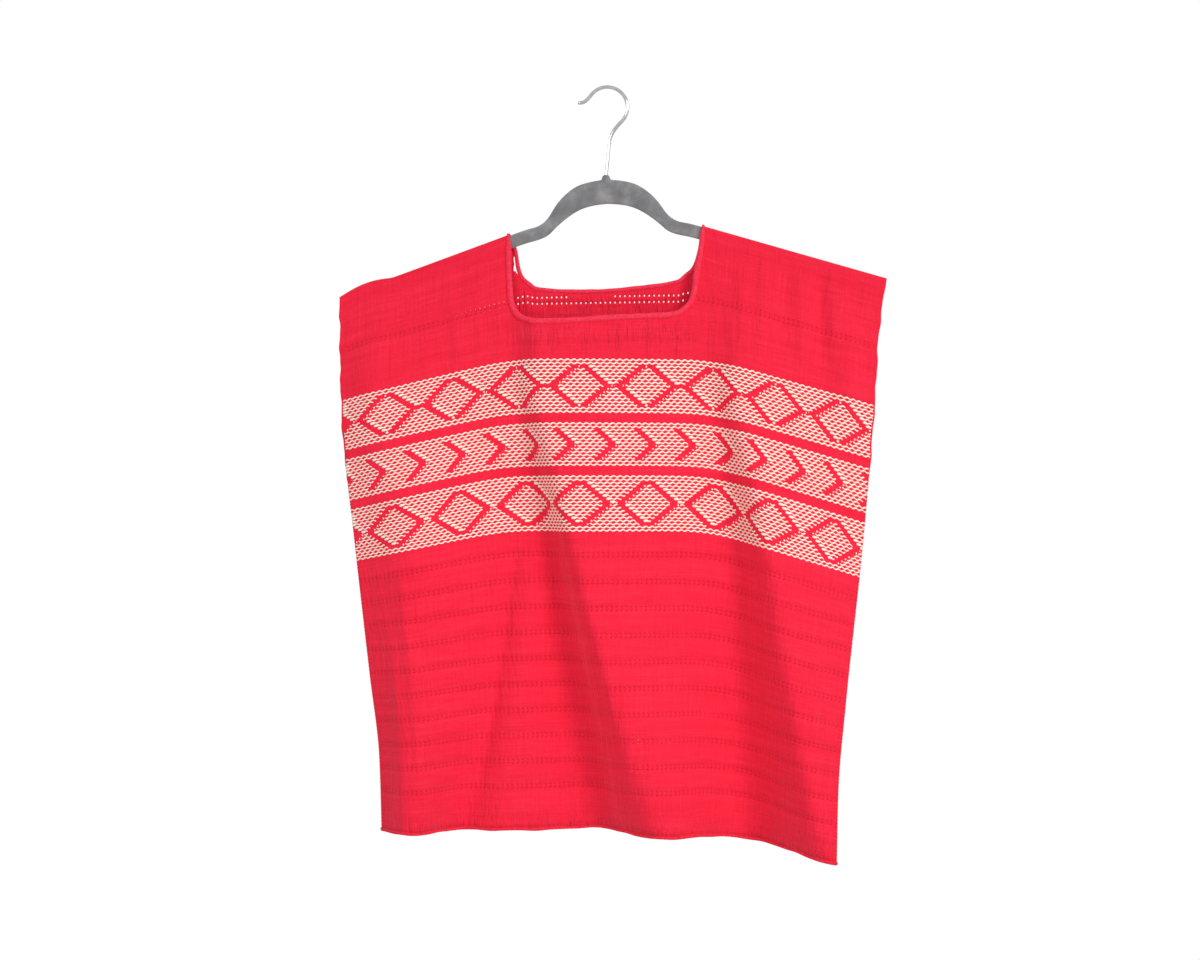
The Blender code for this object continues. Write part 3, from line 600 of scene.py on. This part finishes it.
def chromed_wire(name):
    """Chrome-plated drawn steel wire: a bright mirror with a few dull patches, 4 mm across."""
    made, tree = blank_material(name)
    place = add(tree, "TexCoord").outputs["Object"]
    dulling = add(tree, "TexNoise", {"Vector": place, "Scale": 260.0, "Detail": 4.0})
    rough = add(tree, "MapRange", {"Value": dulling, "To Min": 0.08, "To Max": 0.24})
    colour = add(tree, "ValToRGB", (dulling,), ((0.3, "#d4d5d8"), (0.7, "#ececee")))
    return shaded(made, {"Base Color": colour, "Roughness": rough, "Metallic": 1.0})


def pale_paper(name):
    """Matte white backdrop paper with the faintest mottle."""
    made, tree = blank_material(name)
    place = add(tree, "TexCoord").outputs["Object"]
    mottle = add(tree, "TexNoise", {"Vector": place, "Scale": 3.0, "Detail": 2.0})
    colour = add(tree, "ValToRGB", (mottle,), ((0.3, "#f7f7f7"), (0.7, "#fbfbfb")))
    return shaded(made, {"Base Color": colour, "Roughness": 0.95, "Specular IOR Level": 0.0})


# ---------------------------------------------------------------- building
def finish(made, surface, slot, *nodes):
    """Gives a piece its material, its body and the nodes that it stands for, whose parts it hides. The slot
    is not used.
    """
    made.data.materials.clear()
    made.data.materials.append(surface)
    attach(made, "root")
    if nodes:
        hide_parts(*nodes)
    return made


def mesh_object(name, points, faces, uvs=None):
    """A smooth-shaded object from points and faces; uvs holds one (u, v) for each corner."""
    mesh = bpy.data.meshes.new(name)
    mesh.from_pydata([tuple(p) for p in points], [], faces)
    if uvs is not None:
        layer = mesh.uv_layers.new(name="cloth")
        layer.data.foreach_set("uv", np.asarray(uvs, np.float32).ravel())
    mesh.shade_smooth()
    made = bpy.data.objects.new(name, mesh)
    bpy.context.scene.collection.objects.link(made)
    return made


def apply_modifiers(made):
    bpy.ops.object.select_all(action="DESELECT")
    made.select_set(True)
    bpy.context.view_layer.objects.active = made
    for modifier in list(made.modifiers):
        bpy.ops.object.modifier_apply(modifier=modifier.name)
    made.select_set(False)


def resampled(points, step, closed):
    """The same line with points evenly step apart. Columns past the third are carried along."""
    points = np.asarray(points, float)
    if closed:
        points = np.concatenate((points, points[:1]))
    lengths = np.concatenate(([0.0], np.cumsum(np.linalg.norm(np.diff(points[:, :3], axis=0), axis=1))))
    count = max(3, round(lengths[-1] / step))
    places = np.linspace(0.0, lengths[-1], count + 1)
    if closed:
        places = places[:-1]
    return np.stack([np.interp(places, lengths, column) for column in points.T], axis=1)


def neck_outline(panel):
    """The neck's edge on a panel as (u, w) points 1 mm apart, its corners rounded off."""
    line = np.array(NECK_EDGE[panel.name]) * MM
    for _ in range(3):
        cuts = np.stack((mix(line[:-1], line[1:], 0.25), mix(line[:-1], line[1:], 0.75)), axis=1)
        line = np.concatenate((line[:1], cuts.reshape(-1, 2), line[-1:]))
    return resampled(line, 0.0010, False)


def neck_distance(outline, u, w):
    """How far (u, w) is outside the neck's edge, below 0 in the opening, and the edge's nearest point."""
    distance, nearest = np.ones(u.shape), np.stack((u, w), axis=-1)
    near = (np.abs(u) < NECK_REACH) & (w < NECK_REACH)
    flat = nearest[near]
    step = np.diff(outline, axis=0)
    offset = flat[:, None] - outline[:-1]
    t = np.clip((offset * step).sum(axis=2) / (step**2).sum(axis=1), 0.0, 1.0)
    away = offset - t[..., None] * step
    k = np.linalg.norm(away, axis=2).argmin(axis=1)
    step, away = step[k], away[np.arange(len(flat)), k]
    outside = np.sign(step[:, 0] * away[:, 1] - step[:, 1] * away[:, 0])
    distance[near] = np.linalg.norm(away, axis=1) * outside
    nearest[near] = flat - away
    return distance, nearest


def cloth_rows(name):
    """The cloth's rows down from the fold: close at the fold and round each openwork row."""
    first, count = SKIRT_PAIRS[name]
    pairs = [YOKE_PAIRS[name]]
    pairs += [Pair(first + SKIRT_PAIR_PITCH * k, SKIRT_PAIR_HALF, SKIRT_HOLE_HEIGHT) for k in range(count)]
    rows = list(np.linspace(0.0, TURN_LENGTH, TURN_ROWS))
    holes = []
    for middle, half, height in (*pairs, (None, None, None)):
        end = LENGTH if middle is None else middle - half - height / 2
        for stop, spacing in ((min(end, NECK_ROWS_END), NECK_ROW), (end, FREE_ROW)):
            if stop > rows[-1]:
                rows += list(np.linspace(rows[-1], stop, max(2, round((stop - rows[-1]) / spacing) + 1))[1:])
        if middle is None:
            break
        holes.append(len(rows) - 1)
        rows += [middle - half + height / 2, middle, middle + half - height / 2]
        holes.append(len(rows) - 1)
        rows.append(middle + half + height / 2)
    return np.array(rows), holes


def build_cloth(panel, surface, node):
    """One panel as a grid on its surface, with the neck cut out and the openwork holes left open."""
    outline = neck_outline(panel)
    if panel is BACK:
        loose = (outline[:, 0] < 0) & (outline[:, 1] > SLIT_TOP) & (outline[:, 1] < SLIT_END)
        outline[loose, 0] -= SLIT_REACH
    turn = np.linspace(0.0, TURN_LENGTH, TURN_ROWS)
    starts = np.linspace(TURN_LENGTH, WIDTH - TURN_LENGTH, HOLE_COUNT + 1)
    pitch = starts[1] - starts[0]
    inner = np.stack((starts[:-1], starts[:-1] + pitch - HOLE_WIDTH[panel.name]), axis=1).ravel()
    us = np.concatenate((turn[:-1], inner, WIDTH - turn[::-1])) - WIDTH / 2
    ws, hole_rows = cloth_rows(panel.name)
    u, w = np.meshgrid(us, ws)
    distance, _ = neck_distance(outline, (u[1:, 1:] + u[:-1, :-1]) / 2, (w[1:, 1:] + w[:-1, :-1]) / 2)
    kept = distance > 0
    first, last = len(turn), len(us) - len(turn) - 2
    across, down, places, closed = CLOSED_HOLES
    hole_key = (np.arange(len(us) - 1)[None, :] * across + np.arange(len(ws) - 1)[:, None] * down) % places
    for row in hole_rows:
        columns = np.arange(first, last, 2)
        columns = columns[(distance[row, columns] > HOLE_FROM_NECK) & (hole_key[row, columns] != closed)]
        kept[row, columns] = False
    distance, nearest = neck_distance(outline, u, w)
    drawn = (distance < DRAWN_IN)[..., None]
    u, w = np.moveaxis(np.where(drawn, nearest, np.stack((u, w), axis=-1)), -1, 0)
    points = panel.at(u, w).reshape(-1, 3)
    number = np.arange(u.size).reshape(u.shape)
    corners = np.stack((number[:-1, :-1], number[1:, :-1], number[1:, 1:], number[:-1, 1:]), axis=-1)[kept]
    if panel.side > 0:
        corners = corners[:, ::-1]
    used, corners = np.unique(corners, return_inverse=True)
    corners = corners.reshape(-1, 4)
    flat = np.stack((u.ravel() / WIDTH + 0.5, 1 - w.ravel() / LENGTH), axis=1)[used]
    made = mesh_object(f"{panel.name}_cloth", points[used], corners.tolist(), flat[corners.ravel()])
    wall = made.modifiers.new("wall", "SOLIDIFY")
    wall.thickness, wall.offset = CLOTH, 0.0
    apply_modifiers(made)
    return finish(made, surface, "red_cotton", node)


def dots(k, u):
    """How far the yarns on either side of line k of a band stand back from it at u."""
    offset = np.abs((u / DOT_PITCH + 0.5 * (k % 2)) % 1.0 - 0.5) * DOT_PITCH
    lens = np.cos(np.clip(offset / DOT_HALF_LENGTH, 0.0, 1.0) * math.pi / 2)
    return YARN_GAP + (DOT_HALF_HEIGHT - YARN_GAP) * lens


def with_fleck(start, end):
    """A run whose first stitch lies loose, as the yarn does where the pattern steps to the left."""
    return [(start, start + FLECK, FLECK), (start + FLECK + FLECK_GAP, end, 0.0)]


def diamond_runs(y):
    """Where the yarn lies on top, on a row y below the middle of a band of diamonds. Each run is
    (start, end, how long the dots are left out at its start)."""
    height = abs(y)
    inner = DIAMOND_HALF_WIDTH * (1 - height / DIAMOND_HALF_HEIGHT)
    outer = DIAMOND_OUTER - height * DIAMOND_HALF_WIDTH / DIAMOND_HALF_HEIGHT
    runs = []
    for k in range(-1, DIAMOND_COUNT + 1):
        centre = DIAMOND_FIRST + k * DIAMOND_PERIOD
        if inner > 0.0008 and 0 <= k < DIAMOND_COUNT:
            start, end = centre - inner, centre + inner
            runs += [(start, end, DIAMOND_SOLID)] if y > 0 else with_fleck(start, end)
        start, end = centre + outer, centre + DIAMOND_PERIOD - outer
        runs += [(start, end, DIAMOND_SOLID)] if y < 0 else with_fleck(start, end)
    return runs


def arrow_runs(y):
    """The same for a band of arrows that point to the right."""
    runs = []
    tips = [ARROW_FIRST + k * ARROW_PERIOD - abs(y) * ARROW_LEAN for k in range(ARROW_COUNT + 1)]
    for a, b in zip(tips, tips[1:]):
        start, end = a + ARROW_HALF, b - ARROW_HALF
        runs += [(start, end, ARROW_SOLID)] if y < 0 else with_fleck(start, end)
    return runs


def yarn_run(band_top, pitch, k, start, end, solid, rows):
    """The rings of one stretch of yarn: (u, w) of its middle, half its width and its height."""
    step = DOT_PITCH / YARN_STEPS
    inner = np.arange(math.ceil((start + YARN_NEXT) / step), math.floor((end - YARN_NEXT) / step) + 1)
    u = np.concatenate(([start, start + YARN_NEAR], inner * step, [end - YARN_NEAR, end]))
    fade = smooth((u - start - solid * 0.6) / DOT_RISE) if solid else 1.0
    above, below = dots(k, u + DOT_SLANT), dots(k + 1, u - DOT_SLANT)
    if 0 < k:
        above = YARN_GAP + (above - YARN_GAP) * fade
    if k < rows - 1:
        below = YARN_GAP + (below - YARN_GAP) * fade
    top, low = band_top + k * pitch + above, band_top + (k + 1) * pitch - below
    up = smooth(np.minimum(u - start, end - u) / YARN_SINK)
    half = (low - top) / 2 * mix(YARN_THIN, 1.0, up)
    height = mix(YARN_BELOW, YARN_ABOVE + YARN_FULLNESS * (low - top) / 2, up)
    return u, (top + low) / 2, half, height


def build_band(band, runs_at, surface):
    """A band of brocade: rows of thick yarn that lie on the cloth where the pattern shows it."""
    name, middle, height, rows = band
    pitch, top = height / rows, middle - height / 2
    rings, counts = [], []
    for k in range(rows):
        y = (k + 0.5) * pitch - height / 2
        if k < ROPE_ROWS or k >= rows - ROPE_ROWS:
            runs = [(-YARN_EDGE, YARN_EDGE, 0.0)]
        else:
            runs = runs_at(y)
        for start, end, solid in runs:
            start, end = max(start, -YARN_EDGE), min(end, YARN_EDGE)
            if end - start < SHORTEST_RUN:
                continue
            u, w, half, rise = yarn_run(top, pitch, k, start, end, solid, rows)
            rings.append(np.stack((u, w, half, rise), axis=1))
            counts.append(len(u))
    rings = np.concatenate(rings)
    sides = len(YARN_SECTION)
    across = np.array([s[0] for s in YARN_SECTION])
    outward = np.array([s[1] for s in YARN_SECTION])
    w = rings[:, 1:2] + across * rings[:, 2:3]
    out = CLOTH / 2 + outward * rings[:, 3:4]
    points = FRONT.at(np.broadcast_to(rings[:, :1], w.shape), w, out).reshape(-1, 3)
    round_map = np.arange(sides + 1) / sides
    faces, uvs, start = [], [], 0
    flat_u = rings[:, 0] / WIDTH + 0.5
    for count in counts:
        ring = np.arange(start, start + count - 1)
        for s in range(sides):
            n = (s + 1) % sides
            corners = ((ring, s, s), (ring, n, s + 1), (ring + 1, n, s + 1), (ring + 1, s, s))
            faces += np.stack([at * sides + side for at, side, _ in corners], 1).tolist()
            around = [(flat_u[at], np.full(count - 1, round_map[k])) for at, _, k in corners]
            uvs.append(np.stack([value for pair in around for value in pair], 1).reshape(-1, 2))
        for end, order in ((start, range(sides - 1, -1, -1)), (start + count - 1, range(sides))):
            faces.append([end * sides + s for s in order])
            uvs.append(np.array([(flat_u[end], round_map[s]) for s in order]))
        start += count
    made = mesh_object(name, points, faces, np.concatenate(uvs))
    return finish(made, surface, "red_cotton")


def tube(points, radii, sides, closed, wind=0.0, bite=0.0):
    """Points and faces of a tube along points. bite dents it along a thread wound round it, wind
    turns for each ring."""
    points = np.asarray(points, float)
    count = len(points)
    if closed:
        tangent = np.roll(points, -1, axis=0) - np.roll(points, 1, axis=0)
    else:
        tangent = np.gradient(points, axis=0)
    tangent /= np.linalg.norm(tangent, axis=1, keepdims=True)
    normal = np.empty_like(points)
    guess = np.array((0.0, 1.0, 0.0)) if abs(tangent[0, 1]) < 0.9 else np.array((1.0, 0.0, 0.0))
    for k in range(count):
        guess = guess - tangent[k] * (guess @ tangent[k])
        guess /= np.linalg.norm(guess)
        normal[k] = guess
    side = np.cross(tangent, normal)
    if closed:
        twist = math.atan2(normal[0] @ side[-1], normal[0] @ normal[-1])
        turn = (twist * np.arange(count) / count)[:, None]
        cos, sin = np.cos(turn), np.sin(turn)
        normal, side = normal * cos + side * sin, side * cos - normal * sin
    angle = np.arange(sides) / sides * 2 * math.pi
    lift = np.asarray(radii, float).reshape(-1, 1) * np.ones((count, sides))
    if bite:
        thread = np.cos(angle[None, :] + 2 * math.pi * wind * np.arange(count)[:, None])
        lift = lift * (1 - bite * np.clip(thread, 0.0, 1.0) ** 3)
    across, over = np.cos(angle)[None, :, None], np.sin(angle)[None, :, None]
    rings = points[:, None] + lift[..., None] * (across * normal[:, None] + over * side[:, None])
    faces = []
    for k in range(count if closed else count - 1):
        n = (k + 1) % count
        faces += [(k * sides + s, k * sides + (s + 1) % sides, n * sides + (s + 1) % sides, n * sides + s)
                  for s in range(sides)]
    if not closed:
        faces.append(tuple(range(sides - 1, -1, -1)))
        faces.append(tuple((count - 1) * sides + s for s in range(sides)))
    return rings.reshape(-1, 3), faces


def build_neck_roll(surface):
    """The rolled neck edge, one soft ring that thins where it passes over the hanger."""
    halves = []
    for panel in (FRONT, BACK):
        edge = neck_outline(panel)
        full = smooth(edge[:, 1] / SHOULDER_ROLL_END)
        radius = mix(SHOULDER_ROLL_RADIUS, NECK_ROLL_RADIUS[panel.name], full)
        points = panel.at(edge[:, 0], edge[:, 1], NECK_ROLL_OUT)
        halves.append(np.column_stack((points, radius)))
    line = resampled(np.concatenate((halves[0], halves[1][-2:0:-1])), 0.0010, True)
    place = np.arange(len(line))
    radius = line[:, 3] * (1 + 0.05 * np.sin(place * 0.11) + 0.04 * np.sin(place * 0.29 + 1))
    points, faces = tube(line[:, :3], radius, 14, True, wind=1 / 3.2, bite=0.06)
    return finish(mesh_object("neck_roll_cloth", points, faces), surface, "red_roll_cotton", "neck_roll")


def build_hem_roll(surface):
    """The narrow rolled hem all round, waving a little as it hangs."""
    us = np.linspace(HEM_ROLL_RADIUS - WIDTH / 2, WIDTH / 2 - HEM_ROLL_RADIUS, 500)
    below = np.array((0.0, 0.0, HEM_ROLL_RADIUS * 0.35))
    front, back = FRONT.at(us, LENGTH) - below, BACK.at(us, LENGTH) - below
    for end in (0, -1):
        front[end] = (front[end] + back[end]) / 2
    line = resampled(np.concatenate((front, back[-2:0:-1])), 0.0012, True)
    place = np.arange(len(line))
    line[:, 2] += 0.0004 * np.sin(place * 0.061) + 0.0003 * np.sin(place * 0.171 + 2)
    radius = HEM_ROLL_RADIUS * (1 + 0.07 * np.sin(place * 0.083) + 0.05 * np.sin(place * 0.31 + 1))
    points, faces = tube(line, radius, 12, True, wind=1 / 3.4, bite=0.08)
    return finish(mesh_object("hem_roll_cloth", points, faces), surface, "red_roll_cotton", "hem_roll")


STITCH_PITCH, STITCH_RADIUS = 0.0042, 0.00033
STITCH_REACH = (0.0075, 0.0060, 0.0045, 0.0030, 0.0012)  # from the side edge, along one stitch
BAR_STITCHES, BAR_PITCH = 7, 0.0009


def build_seam_stitches(surface):
    """Whipping over both side seams, and a bar of close stitches at the foot of each armhole."""
    points, faces = [], []
    for side in (-1, 1):
        places = list(np.arange(SEAM_START + 0.012, LENGTH - 0.004, STITCH_PITCH))
        places += [SEAM_START + 0.001 + k * BAR_PITCH for k in range(BAR_STITCHES)]
        for place in places:
            us = side * (WIDTH / 2 - np.array(STITCH_REACH))
            slant = np.linspace(0.0, 0.0011, len(us))
            front = FRONT.at(us, place + slant, CLOTH / 2 + 0.0001)
            back = BACK.at(us, place + 0.0024 - slant, CLOTH / 2 + 0.0001)
            edge = sum(panel.at(side * WIDTH / 2, place + 0.0012) for panel in (FRONT, BACK)) / 2
            edge = edge + np.array((side * 0.0005, 0.0, 0.0))
            line = np.concatenate((front, edge[None], back[::-1]))
            ring_points, ring_faces = tube(line, np.full(len(line), STITCH_RADIUS), 5, False)
            start = sum(len(p) for p in points)
            points.append(ring_points)
            faces += [tuple(i + start for i in face) for face in ring_faces]
    made = mesh_object("side_seam_stitches", np.concatenate(points), faces)
    return finish(made, surface, "red_roll_cotton")


# ---------------------------------------------------------------- hanger and hook
HANGER_MIDDLE = (  # reach, top, bottom, mm from the point where the arms' lines meet
    (3.2, 24.3, -5.4), (4.8, 20.0, -5.5), (12.0, 19.0, -6.2), (21.8, 17.1, -8.2), (30.0, 14.5, -11.2),
    (36.8, 10.6, -14.9), (44.0, 5.0, -19.9), (50.5, -1.6, -25.0), (56.0, -9.0, -30.0), (60.5, -16.0, -34.2),
    (66.0, -21.8, -37.5), (74.0, -26.2, -40.2),
)
HANGER_CENTRE = (24.5, -5.2)


def hanger_stations():
    """Half of the hanger from its middle to its tip, as smooth (reach, top, bottom) in metres."""
    rows = [(0.0, *HANGER_CENTRE), *HANGER_MIDDLE]
    rows = [tuple(value * MM for value in row) for row in rows]
    for reach in np.linspace(0.084, ARM_REACH - ARM_HEIGHT / 2, 5):
        top = -math.tan(ARM_ANGLE) * reach - ARM_CLEARANCE
        rows.append((reach, top, top - ARM_HEIGHT))
    reach, top, bottom = (np.array(column) for column in zip(*rows))
    fine = np.concatenate((reach[:3], np.linspace(reach[2], reach[-1], 70)[1:]))
    stations = np.stack((fine, through(reach, top, fine), through(reach, bottom, fine)), axis=1)
    end, middle = stations[-1], (stations[-1][1] + stations[-1][2]) / 2
    tip = []
    for angle in np.radians((14, 28, 42, 55, 67, 77)):
        out = ARM_HEIGHT / 2 * math.sin(angle)
        centre, half = middle - math.tan(ARM_ANGLE) * out, ARM_HEIGHT / 2 * math.cos(angle)
        tip.append((end[0] + out, centre + half, centre - half))
    return np.concatenate((stations, tip))


def build_hanger(surface):
    """A rounded bar drawn out ring by ring from the left tip to the right one, as high as the hanger
    is at each place."""
    stations = hanger_stations()
    reaches = stations[:, 0]
    places = np.concatenate((-reaches[::-1], reaches[1:]))
    bpy.ops.mesh.primitive_circle_add(
        vertices=20, radius=ARM_THICKNESS / 2, fill_type="NGON", location=(places[0], 0, 0),
        rotation=(0, math.pi / 2, 0)
    )
    made = bpy.context.object
    made.name = "hanger_flocked"
    bpy.ops.object.transform_apply(location=True, rotation=True, scale=True)
    bpy.ops.object.mode_set(mode="EDIT")
    bpy.ops.mesh.select_all(action="SELECT")
    for step in np.diff(places):
        bpy.ops.mesh.extrude_region_move(TRANSFORM_OT_translate={"value": (float(step), 0, 0)})
    mesh = bmesh.from_edit_mesh(made.data)
    radius = ARM_THICKNESS / 2
    for vertex in mesh.verts:
        reach = abs(vertex.co.x)
        top, bottom = np.interp(reach, reaches, stations[:, 1]), np.interp(reach, reaches, stations[:, 2])
        half = (top - bottom) / 2
        ease = min(1.0, half / radius)
        upper = 1 if vertex.co.z > 1e-7 else -1 if vertex.co.z < -1e-7 else 0
        vertex.co.y *= ease
        vertex.co.z = (top + bottom) / 2 + upper * (half - radius * ease) + vertex.co.z * ease
    bmesh.update_edit_mesh(made.data)
    bpy.ops.mesh.select_all(action="SELECT")
    bpy.ops.mesh.normals_make_consistent(inside=False)
    bpy.ops.object.mode_set(mode="OBJECT")
    made.rotation_euler = (0, -TILT, 0)
    made.location = ARM_APEX
    bpy.ops.object.transform_apply(location=True, rotation=True, scale=True)
    bpy.ops.object.shade_smooth()
    return finish(made, surface, "grey_flock", "hanger")


WIRE_RADIUS = 0.0019
SHANK_TOP = Vector((0.0002, 0, -0.0560))
LEAN_POINT = Vector((0.0016, 0, -0.0452))
WIRE_TIP_SIZES = (0.9, 0.55)  # how the cut end is rounded off, as shares of the wire
BEND_RADIUS = 0.0211
BEND_X = -0.0018
BEND_START, BEND_END = math.radians(-48), math.radians(148)
TIP_POINTS = (Vector((-0.0232, 0, -0.0124)), Vector((-0.0274, 0, -0.0146)), Vector((-0.0324, 0, -0.0150)))


def build_hook(surface):
    """Round wire: up from the hanger, leaning out, over the peg in one round bend, and a short tip."""
    foot = ARM_APEX + Vector((-math.sin(TILT) * 0.0240, 0, math.cos(TILT) * 0.0240))
    centre = Vector((BEND_X, 0, WIRE_RADIUS - BEND_RADIUS))
    angles = np.linspace(BEND_START, BEND_END, 64)
    bend = [centre + BEND_RADIUS * Vector((math.cos(angle), 0, math.sin(angle))) for angle in angles]
    lean = []
    for t in np.linspace(0.0, 1.0, 16)[1:-1]:
        lean.append(SHANK_TOP.lerp(LEAN_POINT, t).lerp(LEAN_POINT.lerp(bend[0], t), t))
    shank = [foot.lerp(SHANK_TOP, t) for t in np.linspace(0.0, 1.0, 12)]
    tip = [bend[-1], *TIP_POINTS]
    line = resampled([*shank, *lean, *bend, *tip[1:]], 0.0012, False)
    for _ in range(6):
        line[1:-1] = (line[:-2] + 2 * line[1:-1] + line[2:]) / 4
    heading = np.gradient(line, axis=0)
    heading = np.unwrap(np.arctan2(heading[:, 0], heading[:, 2]))
    sizes = np.ones(len(line))
    sizes[-2:] = WIRE_TIP_SIZES
    bpy.ops.mesh.primitive_circle_add(vertices=20, radius=WIRE_RADIUS, fill_type="NGON", location=line[0])
    made = bpy.context.object
    made.name = "hook_wire"
    bpy.ops.object.transform_apply(location=True, rotation=True, scale=True)
    bpy.ops.object.mode_set(mode="EDIT")
    bpy.ops.mesh.select_all(action="SELECT")
    bpy.ops.transform.rotate(value=-heading[0], orient_axis="Y", center_override=line[0])
    for k in range(1, len(line)):
        bpy.ops.mesh.extrude_region_move(TRANSFORM_OT_translate={"value": line[k] - line[k - 1]})
        bpy.ops.transform.rotate(value=heading[k - 1] - heading[k], orient_axis="Y", center_override=line[k])
        if sizes[k] != sizes[k - 1]:
            bpy.ops.transform.resize(value=[sizes[k] / sizes[k - 1]] * 3, center_override=line[k])
    bpy.ops.mesh.select_all(action="SELECT")
    bpy.ops.mesh.normals_make_consistent(inside=False)
    bpy.ops.object.mode_set(mode="OBJECT")
    bpy.ops.object.shade_smooth()
    return finish(made, surface, "chrome_steel", "hook")


# ---------------------------------------------------------------- camera, light and floor
VIEW_DISTANCE = 2.10
VIEW_WIDTH = 1200 * 1.038 * MM  # what the picture spans at the garment's middle plane
VIEW_CENTRE = (-0.00934, -0.4061)
LAMP_TARGET = Vector((0.04, 0.0, -0.55))
LAMP_RADIUS = 0.75
LAMP_ANGLE = math.radians(30)
LAMPS = (  # name, place, watts
    ("key", (2.0, -2.4, 0.4), 335.0),
    ("fill", (-1.3, -2.7, 0.3), 135.0),
    ("back", (-1.6, 2.6, 0.5), 150.0),
)
SURROUNDINGS = 0.58
FLOOR_SIZE, FLOOR_PLACE = 7.0, (0, -1.3, -1.45)


def build_camera():
    data = bpy.data.cameras.new("camera")
    data.sensor_width = 36.0
    data.lens = data.sensor_width * VIEW_DISTANCE / VIEW_WIDTH
    camera = bpy.data.objects.new("camera", data)
    camera.location = (VIEW_CENTRE[0], -VIEW_DISTANCE, VIEW_CENTRE[1])
    camera.rotation_euler = (math.pi / 2, 0, 0)
    bpy.context.scene.collection.objects.link(camera)
    bpy.context.scene.camera = camera


def add_spot(name, location, energy):
    """A soft lamp on the middle of the skirt, that falls off towards the shoulders."""
    data = bpy.data.lights.new(name, "SPOT")
    data.energy, data.shadow_soft_size = energy, LAMP_RADIUS
    data.spot_size, data.spot_blend = LAMP_ANGLE, 1.0
    light = bpy.data.objects.new(name, data)
    light.location = location
    light.rotation_euler = (LAMP_TARGET - Vector(location)).to_track_quat("-Z", "Y").to_euler()
    bpy.context.scene.collection.objects.link(light)


def build_floor(surface):
    bpy.ops.mesh.primitive_plane_add(size=FLOOR_SIZE, location=FLOOR_PLACE)
    floor = bpy.context.object
    floor.name = "floor"
    floor.data.materials.append(surface)


def build_light():
    """White surroundings, seen at full strength and lighting the cloth less than that, and soft lamps."""
    world = bpy.data.worlds.new("studio")
    world.use_nodes = True
    tree = world.node_tree
    tree.nodes.clear()
    seen = add(tree, "LightPath").outputs["Is Camera Ray"]
    strength = add(tree, "MapRange", {"Value": seen, "To Min": SURROUNDINGS, "To Max": 1.0})
    white = add(tree, "Background", {"Color": (1.0, 1.0, 1.0, 1.0), "Strength": strength})
    add(tree, "OutputWorld", (white,))
    bpy.context.scene.world = world
    for name, location, energy in LAMPS:
        add_spot(name, location, energy)


def main():
    build_camera()
    reds = ("#dd1630", "#f21e3c", "#fd2f4c")
    cream = spun_yarn("cream_brocade_yarn", ("#f2dfc6", "#fdf0de", "#fffaf0"), 2.4)
    thread = sewing_cotton("red_sewing_cotton", ("#dd1934", "#f22240", "#fc3452"))
    # the neck roll's colours are lighter than the cloth's and the hem's: a painted highlight along the roll
    rolled = sewing_cotton("red_roll_cotton_painted_highlight", ("#ea2644", "#fa3250", "#ff4a68"))
    front = build_cloth(FRONT, handwoven_cotton("handwoven_red_cotton_front", "front", reds), "front_panel")
    back = build_cloth(BACK, handwoven_cotton("handwoven_red_cotton_back", "back", reds), "back_panel")
    patterns = (diamond_runs, arrow_runs, diamond_runs)
    bands = [build_band(band, runs_at, cream) for band, runs_at in zip(BANDS, patterns)]
    neck = build_neck_roll(rolled)
    hem = build_hem_roll(thread)
    stitches = build_seam_stitches(thread)
    build_hanger(flocked_plastic("grey_flocked_plastic"))
    build_hook(chromed_wire("chromed_steel_wire"))
    build_floor(pale_paper("white_backdrop_paper"))
    build_light()
    bpy.context.scene.view_settings.view_transform = "Standard"


main()
bpy.context.view_layer.update()
